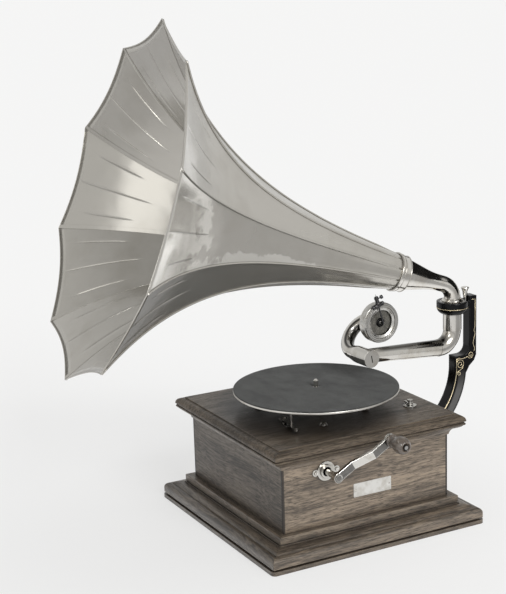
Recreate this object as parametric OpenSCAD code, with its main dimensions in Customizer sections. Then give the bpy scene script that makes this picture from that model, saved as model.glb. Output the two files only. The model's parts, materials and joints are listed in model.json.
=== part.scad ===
// Horn gramophone: oak case, spring motor with governor, swinging tone arm and ten-petal horn.
// Millimetres. Origin at the centre of the base underside, Z up, horn mouth to -Y, crank to +X.

/* [Case] */
// half width of the square case body
case_half = 142.3; // [128:0.1:150]
// thickness of the four case panels
panel_t = 14; // [10:1:14]
// thickness of the base board
base_t = 6; // [4:0.5:7]
// how far the base board stands out from the body
base_out = 40.2; // [36:0.1:41]
// underside of the top board above the floor
top_z = 150; // [150:1:156]
// thickness of the top board
top_t = 20; // [16:1:22]
// how far the top board stands out from the body
top_out = 20.4; // [16:0.1:24]

/* [Turntable] */
// diameter of the turntable
turntable_d = 254; // [246:1:254]
// gap between the top board and the turntable rim
turntable_gap = 25; // [22:0.5:26]
// thickness of the turntable rim
rim_t = 3.5; // [3:0.5:6]
// thickness of the felt
felt_t = 1.5; // [1:0.1:2]
// radius of the record pin at the spindle top
pin_r = 3.6; // [3.5:0.01:3.62]

/* [Crank] */
// height of the crank axis above the floor
crank_z = 122.3; // [122.3:0.1:122.5]
// distance from crank axis to knob axis
crank_r = 91; // [80:1:92]
// crank angle above the horizontal
crank_angle = 30; // [0:1:90]
// largest radius of the crank knob
knob_r = 12.5; // [11:0.5:16]

/* [Bracket and tone arm] */
// distance of the swivel axis behind the spindle
swivel_y = 254.5; // [253:0.5:256]
// height of the tone arm axis above the felt
arm_lift = 36; // [34:0.5:38]
// distance of the cross tube in front of the swivel axis
arm_len = 173; // [171:0.5:175]
// tone arm angle towards the crank side
arm_yaw = 2.7; // [2:0.1:6]
// bend radius of the gooseneck
goose_r = 30; // [27:0.1:31]
// angle of the thrown-back sound box above the horizontal
goose_angle = 49.6; // [48:0.1:54]
// outer radius of the sound box
box_r = 32; // [30:0.5:33]

/* [Horn] */
// number of petals
petals = 10; // [8:1:12]
// radius of the horn at the petal tips
bell_r = 267.5; // [220:0.5:275]
// inner radius of the horn neck
neck_r = 26; // [24:0.5:28]
// length of the horn along its axis
horn_len = 482; // [440:0.1:500]
// upward slope of the horn
horn_rise = 18.6; // [16:0.1:24]
// horn angle towards the crank side
horn_yaw = -8.2; // [-15:0.1:15]
// depth of the hollow between two petal tips
scallop = 5.5; // [4:0.5:14]

/* [Hidden] */
$fn = 64;
// working clearance of a turning shaft and of a seated joint
run_gap = 0.05;
body_gap = 0.4;
inner_half = case_half - panel_t;
base_half = case_half + base_out;
plinth_half = base_half - 2;
plinth_top = base_t + 22;
bed_half = case_half + 11.7;
bed_top = plinth_top + 13;
cornice_z = top_z - 13;
top_half = case_half + top_out;
deck_z = top_z + top_t;
rim_z = deck_z + turntable_gap;
rim_top = rim_z + rim_t;
felt_top = rim_top + felt_t;
table_r = turntable_d / 2;
rim_in = table_r - 6;

// motor
plate_t = 4;
motor_top = 135;
motor_low = 40;
plate_x = [-48, 96];
plate_y = [-112.5, 66];
barrel_c = [30, -70.6];
crank_y = barrel_c[1];
m_big = 1.25;
m_small = 1;
barrel_n = 64;
barrel_r = 34;
barrel_wall = 2.5;
inter_pinion_n = 16;
inter_n = 60;
spindle_pinion_n = 14;
worm_n = 48;
worm_r = 5;
worm_lead = 4 * PI * m_small;
// intermediate wheel, at its two mesh distances from the barrel and the spindle
mesh_low = (barrel_n + inter_pinion_n) * m_big / 2;
mesh_high = (inter_n + spindle_pinion_n) * m_small / 2;
train_dir = barrel_c / norm(barrel_c);
train_along = (norm(barrel_c) + (mesh_high * mesh_high - mesh_low * mesh_low) / norm(barrel_c)) / 2;
train_side = sqrt(mesh_high * mesh_high - train_along * train_along);
inter_c = train_along * train_dir + train_side * [train_dir[1], -train_dir[0]];
gov_y = worm_n * m_small / 2 + worm_r;
gov_z = 77;
crown_n = 40;
wind_n = 16;
crown_z = 112.3;
shaft_r = 4;
arbor_r = 6;
gov_r = 2.5;
crank_shaft_r = 5;
escutcheon_r = 14.4;
pillar_at = [[-36, -102], [84, -102], [-36, 54], [40, 58]];
bolt_at = [[-40, -80], [88, -40], [-40, 20], [60, 50]];
speed_at = [83, inner_half - 12.3];
brake_at = [44, -80];
brake_angle = -13.5;
ratchet_z = 119;
click_at = barrel_c - [24, 12];

// bracket, swivel and horn
arm_z = felt_top + arm_lift;
arm_bend = 28;
arm_r0 = 14;
arm_r1 = 11;
arm_bore = 8.4;
foot_t = 8;
leg_cz = arm_z - 46;
foot_z = leg_cz - 114;
foot_half = 28;
foot_bolt = 19;
ring_r = 25;
ring_h = 21;
ring_low = arm_z + arm_bend + 13;
ring_top = ring_low + ring_h;
swivel_r = 14.8;
cap_r = 19.2;
elbow_r = 13;
elbow_bend = 26;
elbow_z = ring_top + 5;
turn = 90 - horn_rise;
elbow_len = 74;
cross_y = -arm_len;
sleeve_r = 13.5;
journal_r = 11;
needle_angle = 57;
ring_y0 = swivel_y + 28;
ring_y1 = swivel_y + 40.9;
screw_y = swivel_y + 25;
sheet_t = 0.8;
seam_gap = 0.06;
rib_w = 1.6;
rib_h = 2.2;
rows = 18;
half_petal = 180 / petals;

// shared shapes

// square of a half width with rounded corners
module rounded_square(half, r) {
  square([2 * half, 2 * (half - r)], center = true);
  square([2 * (half - r), 2 * half], center = true);
  for (x = [-1, 1], y = [-1, 1]) translate([x * (half - r), y * (half - r)]) circle(r);
}

// rectangle from two ranges with rounded corners
module rounded_box(xr, yr, r) {
  translate([xr[0] + r, yr[0]]) square([xr[1] - xr[0] - 2 * r, yr[1] - yr[0]]);
  translate([xr[0], yr[0] + r]) square([xr[1] - xr[0], yr[1] - yr[0] - 2 * r]);
  for (x = [xr[0] + r, xr[1] - r], y = [yr[0] + r, yr[1] - r]) translate([x, y]) circle(r);
}

// four mitred strips of a moulding whose section is drawn as distance from centre and height
module mitred(half) {
  for (k = [0:3]) rotate([0, 0, 90 * k]) intersection() {
    translate([0, half + 1, 0]) rotate([90, 0, 0]) linear_extrude(2 * half + 2) children();
    linear_extrude(400) polygon([[0.2, 0], [half + 2.2, -half - 2], [half + 2.2, half + 2]]);
  }
}

// tube along Z
module tube(r, ri, z0, z1) {
  difference() {
    translate([0, 0, z0]) cylinder(r = r, h = z1 - z0);
    translate([0, 0, z0 - 1]) cylinder(r = ri, h = z1 - z0 + 2);
  }
}

// rod along X from x0 to x1
module rod_x(r, x0, x1) {
  translate([x0, 0, 0]) rotate([0, 90, 0]) cylinder(r = r, h = x1 - x0);
}

// bend in the YZ plane, starting at +Y of its centre and turning towards +Z
module bend(big, r, angle) {
  rotate([90, 0, 90]) rotate_extrude(angle = angle) translate([big, 0]) circle(r);
}

// outline of a straight-flanked gear, one tooth at angle zero
function gear_outline(n, m, add, ded) =
  let (rp = n * m / 2, tw = PI * m / 2 - 0.6, ht = tw / 2 - add * 0.33, hr = tw / 2 + ded * 0.33)
  [for (i = [0:n - 1]) for (p = [[-hr, rp - ded], [-ht, rp + add], [ht, rp + add], [hr, rp - ded]])
    let (a = 360 * i / n + p[0] / p[1] * 180 / PI) [p[1] * cos(a), p[1] * sin(a)]];

module gear(n, m, z0, z1, bore, phase) {
  rotate([0, 0, phase]) translate([0, 0, z0]) linear_extrude(z1 - z0) difference() {
    polygon(gear_outline(n, m, 0.88 * m, 1.2 * m));
    circle(bore);
  }
}

// phases that set a tooth of one wheel in a gap of the next
mesh_a = atan2(inter_c[1] - barrel_c[1], inter_c[0] - barrel_c[0]);
mesh_b = atan2(-inter_c[1], -inter_c[0]);

// case

module base_board() color([0.20, 0.15, 0.11]) linear_extrude(base_t) rounded_square(base_half, 7);

module plinth_moulding() color([0.26, 0.20, 0.14]) mitred(plinth_half) {
  translate([case_half, base_t]) square([plinth_half - 4 - case_half, 3]);
  translate([case_half, base_t + 2.5]) square([plinth_half - case_half, 7.5]);
  translate([case_half, base_t + 2.5]) square([plinth_half - 8 - case_half, plinth_top - base_t - 7.7]);
  intersection() {
    translate([plinth_half - 8, base_t + 10]) circle(8);
    translate([plinth_half - 10, base_t + 9]) square(10);
  }
  polygon(concat([[case_half, base_t + 3], [plinth_half - 10, base_t + 3]], [for (a = [0:15:90])
    [plinth_half - 10 - (plinth_half - bed_half - 13) * (1 - cos(a)), plinth_top - 5.2 * (1 - sin(a))]],
    [[case_half, plinth_top]]));
}

module bed_moulding() color([0.26, 0.20, 0.14]) mitred(bed_half) translate([0, plinth_top])
  polygon([[case_half, 0], [bed_half + 1.5, 0], [bed_half + 1.5, 1.5], [bed_half - 1.2, 1.5],
    [bed_half - 1.2, 3], [bed_half, 3], [bed_half, bed_top - plinth_top - 0.8],
    [bed_half - 0.8, bed_top - plinth_top], [case_half, bed_top - plinth_top]]);

// one side of the case, mitred at both ends
module side_panel(turns) rotate([0, 0, 90 * turns]) intersection() {
  translate([inner_half, -case_half, base_t]) cube([panel_t, 2 * case_half, top_z - base_t]);
  linear_extrude(400)
    polygon([[0.1, 0], [case_half + 2.1, -case_half - 2], [case_half + 2.1, case_half + 2]]);
}

module front_panel() color([0.30, 0.23, 0.16]) side_panel(3);

module rear_panel() color([0.30, 0.23, 0.16]) difference() {
  side_panel(1);
  bracket_bolt_axes() cylinder(r = 3 + run_gap, h = 80, center = true);
}

module left_panel() color([0.30, 0.23, 0.16]) side_panel(2);

module right_panel() color([0.30, 0.23, 0.16]) difference() {
  side_panel(0);
  translate([0, crank_y, crank_z]) rod_x(8, inner_half - 1, case_half + 1);
}

module corner_blocks() color([0.35, 0.27, 0.18])
  for (x = [-1, 1], y = [-1, 1]) translate([x * (inner_half - 8), y * (inner_half - 8), base_t])
    translate([-8, -8, 0]) cube([16, 16, top_z - base_t]);

module cornice() color([0.26, 0.20, 0.14]) mitred(case_half + 14) difference() {
  translate([case_half, cornice_z]) square([14, top_z - cornice_z]);
  translate([case_half + 14.5, cornice_z - 0.5]) circle(12.5);
}

module top_board() color([0.28, 0.21, 0.15]) difference() {
  intersection() {
    translate([0, top_half + 1, 0]) rotate([90, 0, 0]) linear_extrude(2 * top_half + 2) top_profile();
    translate([-top_half - 1, 0, 0]) rotate([90, 0, 90]) linear_extrude(2 * top_half + 2) top_profile();
  }
  cylinder(r = shaft_r + 3, h = 300);
  for (p = bolt_at) translate([p[0], p[1], top_z - 1]) cylinder(r = 3 + run_gap, h = top_t + 2);
  translate([speed_at[0], speed_at[1], top_z - 1]) cylinder(r = 3 + run_gap, h = top_t + 2);
}

// section of the top board: a step, a quarter round, a groove and a bead under it
top_side = concat([[top_half - 12, deck_z], [top_half - 12, deck_z - 2]],
  [for (a = [90:-15:0]) [top_half - 9.5 + 9.5 * cos(a), deck_z - 10 + 8 * sin(a)]],
  [[top_half, deck_z - 11.5], [top_half - 2.5, deck_z - 11.5], [top_half - 2.5, deck_z - 13]],
  [for (a = [90:-30:-90]) [top_half - 2.5 + 2 * cos(a), deck_z - 15.2 + 2 * sin(a)]],
  [[top_half - 5, top_z]]);

module top_profile() polygon(concat(top_side,
  [for (i = [len(top_side) - 1:-1:0]) [-top_side[i][0], top_side[i][1]]]));

module escutcheon() color([0.75, 0.73, 0.68]) translate([0, crank_y, crank_z]) difference() {
  union() {
    rod_x(escutcheon_r, case_half, case_half + 2);
    rod_x(9.5, case_half, case_half + 5);
    for (s = [-1, 1]) translate([0, (escutcheon_r + 3) * s, 0]) {
      rod_x(5, case_half, case_half + 2);
      rod_x(2.6, case_half, case_half + 3.4);
    }
  }
  rod_x(crank_shaft_r + 2, case_half - 1, case_half + 6);
}

// motor frame

module plate_outline() rounded_box(plate_x, plate_y, 10);

module motor_top_plate() color([0.45, 0.44, 0.42]) difference() {
  union() {
    translate([0, 0, motor_top]) linear_extrude(plate_t) plate_outline();
    translate([72, crank_y - 9, crank_z - 9]) cube([12, 18, motor_top + 1 - crank_z + 9]);
    translate([click_at[0], click_at[1], ratchet_z - 2.4]) cylinder(r = 2.5, h = motor_top + 3.4 - ratchet_z);
    translate([click_at[0], click_at[1], ratchet_z - 2.4]) cylinder(r = 4, h = 2);
    translate([click_at[0], click_at[1], ratchet_z + 5.4]) cylinder(r = 4, h = motor_top - ratchet_z - 5);
  }
  translate([0, crank_y, crank_z]) rod_x(crank_shaft_r + run_gap, 70, 90);
  cylinder(r = shaft_r + run_gap, h = 300);
  translate([barrel_c[0], barrel_c[1], 0]) cylinder(r = arbor_r + run_gap, h = 300);
  translate([inter_c[0], inter_c[1], 0]) cylinder(r = 3 + run_gap, h = 300);
  for (p = bolt_at) translate([p[0], p[1], 0]) cylinder(r = 3 + run_gap, h = 300);
  for (p = pillar_at) translate([p[0], p[1], 0]) cylinder(r = 3 + run_gap, h = 300);
}

module motor_low_plate() color([0.45, 0.44, 0.42]) difference() {
  union() {
    translate([0, 0, motor_low]) linear_extrude(plate_t) plate_outline();
    for (x = [-24, 83]) translate([x, gov_y - 6, motor_low + 1]) cube([8, 12, gov_z + 7 - motor_low]);
  }
  translate([0, gov_y, gov_z]) rod_x(gov_r + run_gap, -30, 95);
  cylinder(r = shaft_r + run_gap, h = 300);
  translate([barrel_c[0], barrel_c[1], 0]) cylinder(r = arbor_r + run_gap, h = 300);
  translate([inter_c[0], inter_c[1], 0]) cylinder(r = 3 + run_gap, h = 300);
  for (p = pillar_at) translate([p[0], p[1], 0]) cylinder(r = 3 + run_gap, h = 300);
}

module motor_pillars() color([0.6, 0.58, 0.52])
  for (p = pillar_at) translate([p[0], p[1], 0]) {
    translate([0, 0, motor_low + plate_t]) cylinder(r = 6, h = motor_top - motor_low - plate_t);
    translate([0, 0, motor_low - 5]) cylinder(r = 3, h = motor_top - motor_low + 14);
    translate([0, 0, motor_low - 4]) cylinder(r = 5.5, h = 4);
    translate([0, 0, motor_top + plate_t]) cylinder(r = 5.5, h = 4);
  }

module motor_bolts() color([0.72, 0.70, 0.66])
  for (p = bolt_at) translate([p[0], p[1], 0]) {
    translate([0, 0, motor_top - 8]) cylinder(r = 3, h = deck_z - motor_top + 9);
    translate([0, 0, motor_top - 5]) cylinder(r = 5.5, h = 5);
    translate([0, 0, deck_z]) cylinder(r1 = 6, r2 = 4, h = 3);
  }

module motor_spacers() color([0.18, 0.17, 0.16])
  for (p = bolt_at) translate([p[0], p[1], 0]) tube(7, 3 + run_gap, motor_top + plate_t, top_z);

// spring barrel and winding wheels

module barrel_arbor() color([0.62, 0.61, 0.60]) translate([barrel_c[0], barrel_c[1], 0]) {
  translate([0, 0, motor_low - 1]) cylinder(r = arbor_r, h = motor_top + plate_t - motor_low + 2);
  translate([0, 0, 66]) cylinder(r = 9, h = 26);
}

module spring_barrel() color([0.72, 0.60, 0.32]) translate([barrel_c[0], barrel_c[1], 0]) {
  gear(barrel_n, m_big, 55, 61, arbor_r + 2, mesh_a);
  rotate_extrude() polygon([[arbor_r + run_gap, 61], [barrel_r, 61], [barrel_r, 94],
    [barrel_r - barrel_wall, 94], [barrel_r - barrel_wall, 64.5], [arbor_r + run_gap, 64.5]]);
}

module barrel_cover() color([0.70, 0.58, 0.30]) translate([barrel_c[0], barrel_c[1], 0])
  tube(barrel_r, arbor_r + run_gap, 94, 96);

// one strip wound in a flat spiral between the arbor sleeve and the barrel wall
spring_turns = 6;
spring_r0 = 11;
spring_r1 = barrel_r - barrel_wall - 0.6;
spring_steps = 22;
spring_w = 0.9;
function spiral_at(i, d) = let (k = i / (spring_turns * spring_steps), a = 360 * i / spring_steps)
  (spring_r0 + (spring_r1 - spring_r0) * k + d) * [cos(a), sin(a)];

module mainspring() color([0.40, 0.42, 0.45]) translate([barrel_c[0], barrel_c[1], 64.5])
  linear_extrude(26) polygon(concat(
    [for (i = [0:spring_turns * spring_steps]) spiral_at(i, spring_w / 2)],
    [for (i = [spring_turns * spring_steps:-1:0]) spiral_at(i, -spring_w / 2)]));

module crown_wheel() color([0.72, 0.60, 0.32]) translate([barrel_c[0], barrel_c[1], crown_z]) {
  tube(28, arbor_r, -5.5, -1.5);
  tube(12, arbor_r, -8.3, -5.2);
  for (i = [0:crown_n - 1]) rotate([0, 0, 360 * i / crown_n]) translate([22, 0, 0]) rotate([90, 0, 90])
    linear_extrude(6) polygon([[-1.0, -1.7], [1.0, -1.7], [0.27, 0.9], [-0.27, 0.9]]);
}

module ratchet_wheel() color([0.62, 0.61, 0.60]) translate([barrel_c[0], barrel_c[1], ratchet_z])
  linear_extrude(5) difference() {
    polygon([for (i = [0:11], k = [0, 1]) (k == 0 ? 15 : 12) * [cos(30 * i + k), sin(30 * i + k)]]);
    circle(arbor_r);
  }

// pawl of the ratchet, turning on a stud of the top plate and drawn just clear of the teeth
module click() color([0.55, 0.54, 0.53]) translate([click_at[0], click_at[1], ratchet_z])
  linear_extrude(5) difference() {
    union() {
      circle(5);
      rotate([0, 0, 68]) translate([0, -2]) square([20, 4]);
    }
    circle(2.5 + run_gap);
  }

// train

module inter_shaft() color([0.66, 0.65, 0.63]) translate([inter_c[0], inter_c[1], 0]) {
  translate([0, 0, motor_low - 1]) cylinder(r = 3, h = motor_top + plate_t - motor_low + 2);
  gear(inter_pinion_n, m_big, 53, 63, 3, mesh_a + 180 + 180 / inter_pinion_n);
}

module inter_wheel() color([0.72, 0.60, 0.32]) translate([inter_c[0], inter_c[1], 0]) {
  gear(inter_n, m_small, 100, 104, 3, mesh_b);
  tube(8, 3, 104, 109);
}

module spindle() color([0.70, 0.69, 0.67]) {
  translate([0, 0, motor_low - 1]) cylinder(r = shaft_r, h = felt_top - motor_low + 1);
  translate([0, 0, felt_top]) cylinder(r = pin_r, h = 9);
  translate([0, 0, felt_top + 9]) cylinder(r1 = pin_r, r2 = pin_r - 1.6, h = 2);
  gear(spindle_pinion_n, m_small, 99, 105, shaft_r, mesh_b + 180 + 180 / spindle_pinion_n);
}

module worm_wheel() color([0.50, 0.33, 0.20]) {
  tube(worm_n * m_small / 2 - 1.2, shaft_r, gov_z - 2, gov_z + 2);
  tube(9, shaft_r, gov_z + 2, gov_z + 8);
  for (i = [0:worm_n - 1]) rotate([0, 0, 360 * i / worm_n])
    translate([worm_n * m_small / 2, 0, gov_z]) rotate([-atan(worm_lead / (2 * PI * worm_r)), 0, 0])
      translate([0, 0, -1.9]) linear_extrude(3.8)
        polygon([[-1.5, -0.95], [0.8, -0.26], [0.8, 0.26], [-1.5, 0.95]]);
}

module turntable() color([0.70, 0.69, 0.66]) {
  tube(table_r, rim_in, rim_z, rim_top);
  tube(rim_in, shaft_r, rim_top - 1.5, rim_top);
  tube(14, shaft_r, deck_z + 4, rim_top - 1.5);
}

module turntable_felt() color([0.16, 0.18, 0.16]) tube(table_r - 0.3, shaft_r, rim_top, felt_top);

// governor

// thread ridge of one start as a closed strip wound along X
function thread_point(i, k, p) = let (a = 20 * i + 90 * k + 45)
  [worm_lead * 20 * (i - 14) / 360 + p[0], p[1] * cos(a + 180), p[1] * sin(a + 180)];

module worm_thread(k) {
  n = 28;
  sec = [[-0.85, worm_r - 1.4], [0.85, worm_r - 1.4], [0.2, worm_r + 0.8], [-0.2, worm_r + 0.8]];
  polyhedron(
    points = [for (i = [0:n]) for (p = sec) thread_point(i, k, p)],
    faces = concat([[0, 1, 2, 3]], [[4 * n + 3, 4 * n + 2, 4 * n + 1, 4 * n]],
      [for (i = [0:n - 1]) for (j = [0:3]) [4 * i + j, 4 * i + 4 + j, 4 * i + (j + 1) % 4]],
      [for (i = [0:n - 1]) for (j = [0:3])
        [4 * i + (j + 1) % 4, 4 * i + 4 + j, 4 * i + 4 + (j + 1) % 4]]));
}

module governor_shaft() color([0.66, 0.65, 0.63]) translate([0, gov_y, gov_z]) {
  rod_x(gov_r, -25, 93);
  difference() {
    rod_x(worm_r - 1.2, -12, 12);
    rod_x(gov_r, -13, 13);
  }
  for (k = [0:3]) worm_thread(k);
  difference() {
    rod_x(7, 30, 36);
    rod_x(gov_r, 29, 37);
  }
}

module governor_weights() color([0.70, 0.58, 0.30]) translate([0, gov_y, gov_z])
  for (k = [0:2]) rotate([120 * k, 0, 0]) {
    translate([0, 0, 13.2]) rod_x(4.5, 48, 60);
    translate([36, -3, 5]) cube([1, 6, 5.5]);
    translate([36, -3, 8.4]) cube([36, 6, 0.6]);
    translate([71, -3, 5]) cube([1, 6, 3.4]);
  }

module governor_disc() color([0.66, 0.65, 0.63]) translate([0, gov_y, gov_z]) difference() {
  union() {
    rod_x(7, 72, 76);
    rod_x(16, 76, 78.5);
  }
  rod_x(gov_r, 71, 80);
}

// crank

crank_x = case_half + 29;

module crank_shaft() color([0.72, 0.71, 0.70]) translate([0, crank_y, crank_z]) {
  rod_x(crank_shaft_r, 53, crank_x + 8.8);
  translate([53, 0, 0]) rotate([0, 90, 0]) gear(wind_n, m_big, 0, 4, crank_shaft_r, 180 / wind_n);
}

// strap arm with a joggle that brings the knob end clear of the base
module crank_arm() color([0.74, 0.73, 0.72])
  translate([crank_x, crank_y, crank_z]) rotate([crank_angle, 0, 0]) difference() {
    union() {
      rod_x(7.5, 0, 8);
      translate([0, 0, -6.5]) linear_extrude(13) polygon([[3, 0], [3, 30], [base_out - 23, 60],
        [base_out - 23, crank_r], [base_out - 18, crank_r], [base_out - 18, 58], [8, 28], [8, 0]]);
      translate([0, crank_r, 0]) rod_x(9, base_out - 23, base_out - 18);
    }
    rod_x(crank_shaft_r, -1, 12);
    translate([0, crank_r, 0]) rod_x(3.5, 0, 40);
  }

module at_knob() translate([crank_x + base_out - 18, crank_y, crank_z]) rotate([crank_angle, 0, 0])
  translate([0, crank_r, 0]) children();

module crank_pin() color([0.78, 0.77, 0.75]) at_knob() {
  rod_x(3.5, -5, 37.5);
  rod_x(4.4, 36.7, 38.4);
}

module crank_knob() color([0.10, 0.08, 0.07]) at_knob() difference() {
  union() {
    rotate([0, 90, 0]) translate([0, 0, 0.5]) rotate_extrude() polygon([[0, 0], [9, 0], [9, 3],
      [7.5, 4.5], [8, 9], [knob_r - 2, 18], [knob_r, 26], [knob_r - 1, 31], [knob_r - 4, 35.8],
      [7.4, 37.4], [6.5, 37.4], [6.5, 36.1], [0, 36.1]]);
  }
  rod_x(3.5 + run_gap, -1, 45);
}

// speed control and brake

module speed_dial() color([0.74, 0.73, 0.70]) translate([speed_at[0], speed_at[1], 0]) {
  tube(10, 3 + run_gap, deck_z, deck_z + 1.4);
  for (a = [40, 220]) rotate([0, 0, a]) translate([7.4, 0, deck_z + 1.4]) cylinder(r = 1.4, h = 0.8);
}

// pointer, upright rod and the arm that brings a felt pad to the governor disc
module speed_lever() color([0.70, 0.69, 0.68]) translate([speed_at[0], speed_at[1], 0]) {
  translate([0, 0, gov_z - 4]) cylinder(r = 3, h = deck_z + 9 - gov_z + 4);
  translate([0, 0, deck_z + 2.6]) cylinder(r = 4.5, h = 2.6);
  translate([-14, -1.5, deck_z + 2.8]) cube([14, 3, 2]);
  translate([0, 0, deck_z + 7]) cylinder(r = 4.2, h = 3);
  translate([-2, gov_y + 9 - speed_at[1], gov_z - 3]) cube([4, speed_at[1] - gov_y - 9, 6]);
  translate([-3.7, gov_y + 10 - speed_at[1], gov_z - 3]) cube([1.7, 5, 6]);
}

module brake_base() color([0.72, 0.71, 0.69]) translate([brake_at[0], brake_at[1], 0]) {
  translate([0, 0, deck_z]) rotate([0, 0, brake_angle]) linear_extrude(1.6)
    rounded_box([-14, 24], [-7, 7], 4);
  translate([0, 0, deck_z + 1.6]) cylinder(r = 2.5, h = 6.4);
  rotate([0, 0, brake_angle]) for (x = [-10, 19])
    translate([x, 0, deck_z + 1.6]) cylinder(r = 2.4, h = 1);
}

module brake_lever() color([0.76, 0.75, 0.73]) translate([brake_at[0], brake_at[1], 0])
  rotate([0, 0, brake_angle]) difference() {
    union() {
      translate([0, 0, deck_z + 4.4]) linear_extrude(2.4) rounded_box([-6, 62], [-3.5, 3.5], 3.4);
      translate([0, 0, deck_z + 3]) cylinder(r = 6, h = 3.8);
      translate([58, 0, deck_z + 6.8]) cylinder(r = 3.2, h = 3);
      translate([34, 0, deck_z + 6.8]) cylinder(r = 2, h = rim_z - deck_z - 6.8 - 1);
    }
    translate([0, 0, deck_z]) cylinder(r = 2.5 + run_gap, h = 20);
  }

module brake_pad() color([0.33, 0.22, 0.14]) translate([brake_at[0], brake_at[1], 0])
  rotate([0, 0, brake_angle]) translate([34, 0, rim_z - 1]) cylinder(r = 3.2, h = 2.5);

// bracket

module bracket_bolt_axes()
  for (x = [-1, 1], z = [-1, 1]) translate([x * foot_bolt, case_half, foot_z + z * foot_bolt])
    rotate([90, 0, 0]) children();

leg_cy = case_half + foot_t;
leg_ri = swivel_y - leg_cy;
leg_ro = leg_ri + 21.5;

module bracket_profile() {
  intersection() {
    translate([leg_cy, leg_cz]) difference() {
      circle(leg_ro, $fn = 128);
      circle(leg_ri, $fn = 128);
    }
    translate([leg_cy - 2, leg_cz - 150]) square([150, 150]);
  }
  polygon([[leg_cy + leg_ri, leg_cz], [leg_cy + leg_ri, leg_cz + 17], [ring_y1, leg_cz + 17],
    [ring_y1, leg_cz + 15], [ring_y1 - 4, leg_cz + 6], [leg_cy + leg_ro + 6, leg_cz - 2],
    [leg_cy + leg_ro, leg_cz - 12], [leg_cy + leg_ri + 6, leg_cz - 12]]);
  translate([ring_y0, leg_cz + 16]) square([ring_y1 - ring_y0, ring_top + 5 - leg_cz - 16]);
  difference() {
    translate([ring_y0 - 14, leg_cz + 16]) square([15, 15]);
    translate([ring_y0 - 14, leg_cz + 31]) circle(14);
  }
}

module bracket() color([0.05, 0.05, 0.05]) difference() {
  union() {
    translate([-9, 0, 0]) rotate([90, 0, 90]) linear_extrude(18) bracket_profile();
    translate([0, case_half + foot_t, foot_z]) rotate([90, 0, 0]) linear_extrude(foot_t)
      rounded_box([-foot_half, foot_half], [-foot_half, foot_half], 9);
    translate([-9, swivel_y + 14, ring_low + 5]) cube([18, 16, ring_top - ring_low - 8]);
    translate([0, swivel_y, 0]) rotate_extrude() {
      translate([0, ring_low + 12]) square([ring_r, ring_top - ring_low - 12]);
      intersection() {
        translate([ring_r - 12, ring_low + 12]) circle(12);
        translate([ring_r - 12, ring_low]) square([12, 13]);
      }
      translate([0, ring_low]) square([ring_r - 12, 13]);
    }
  }
  translate([0, swivel_y, ring_low - 1]) cylinder(r = swivel_r + run_gap, h = 40);
  translate([0, swivel_y, ring_low + 4]) cylinder(r = 18.1, h = 40);
  translate([0, swivel_y, ring_top - 6]) cylinder(r = cap_r, h = 40);
  translate([0, screw_y, ring_top - 14]) cylinder(r = 2.6, h = 20);
  bracket_bolt_axes() cylinder(r = 3 + run_gap, h = 80, center = true);
}

module bracket_bolts() color([0.30, 0.29, 0.28]) bracket_bolt_axes() {
  translate([0, 0, -foot_t]) cylinder(r = 3, h = foot_t + panel_t + 6);
  translate([0, 0, -foot_t - 3.5]) cylinder(r = 5.5, h = 3.5);
  translate([0, 0, panel_t]) cylinder(r = 5.5, h = 5);
}

module bearing_cap() color([0.74, 0.72, 0.66]) translate([0, swivel_y, 0])
  tube(cap_r, elbow_r + run_gap, ring_top - 6, ring_top);

module thumb_screw() color([0.74, 0.72, 0.66]) translate([0, screw_y, 0]) {
  translate([0, 0, ring_top - 13]) cylinder(r = 2.6 - run_gap, h = 20);
  translate([0, 0, ring_top + 5.5]) cylinder(r1 = 3.6, r2 = 4.6, h = 8);
  translate([0, 0, ring_top + 13.5]) cylinder(r1 = 4.6, r2 = 6.8, h = 4);
  translate([0, 0, ring_top + 17.5]) cylinder(r1 = 6.8, r2 = 6, h = 1.5);
}

// tone arm, drawn from the swivel axis

module at_swivel() translate([0, swivel_y, 0]) rotate([0, 0, arm_yaw]) children();
module at_cross() at_swivel() translate([0, cross_y, arm_z]) children();

// the arm rises from the bend to the cross tube
arm_rise = 4.5;
arm_run = (arm_len - arm_bend * (1 + sin(arm_rise))) / cos(arm_rise);
bend_z = arm_z - arm_run * sin(arm_rise) + arm_bend * cos(arm_rise);

module arm_path(r0, r1) {
  translate([0, -arm_bend, bend_z]) rotate([-90 - arm_rise, 0, 0]) bend(arm_bend, r1, 90 + arm_rise);
  translate([0, cross_y, arm_z]) rotate([-90 - arm_rise, 0, 0]) cylinder(r1 = r0, r2 = r1 - 0.4, h = arm_run + 1.5);
}

module tone_arm() color([0.72, 0.71, 0.69]) difference() {
  union() {
    at_swivel() {
      translate([0, 0, bend_z - 1.5]) cylinder(r = swivel_r, h = ring_top - 5.5 - bend_z);
      translate([0, 0, ring_low + 4 + body_gap]) cylinder(r = 17.6, h = 4);
      arm_path(arm_r1, arm_r0);
    }
    at_cross() rod_x(sleeve_r, -12, 19);
  }
  at_swivel() {
    translate([0, 0, bend_z - 1.5]) cylinder(r = arm_r0 - 1.7, h = 70);
    arm_path(arm_bore, arm_r0 - 2);
  }
  at_cross() rod_x(journal_r + run_gap, -13, 20);
}

module pivot_cap() color([0.76, 0.75, 0.73]) at_cross() difference() {
  rod_x(sleeve_r, 19, 22);
  rotate([11, 0, 0]) translate([20.6, -1, -6]) cube([3, 2, 12]);
}

// gooseneck and sound box, drawn with the sound box straight behind the cross tube

module at_goose() at_cross() rotate([goose_angle, 0, 0]) children();
module at_box() at_goose() translate([0, 2 * goose_r, 0]) children();

goose_x = -30;
goose_tube = 10.5;
goose_bore = 8.2;

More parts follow.
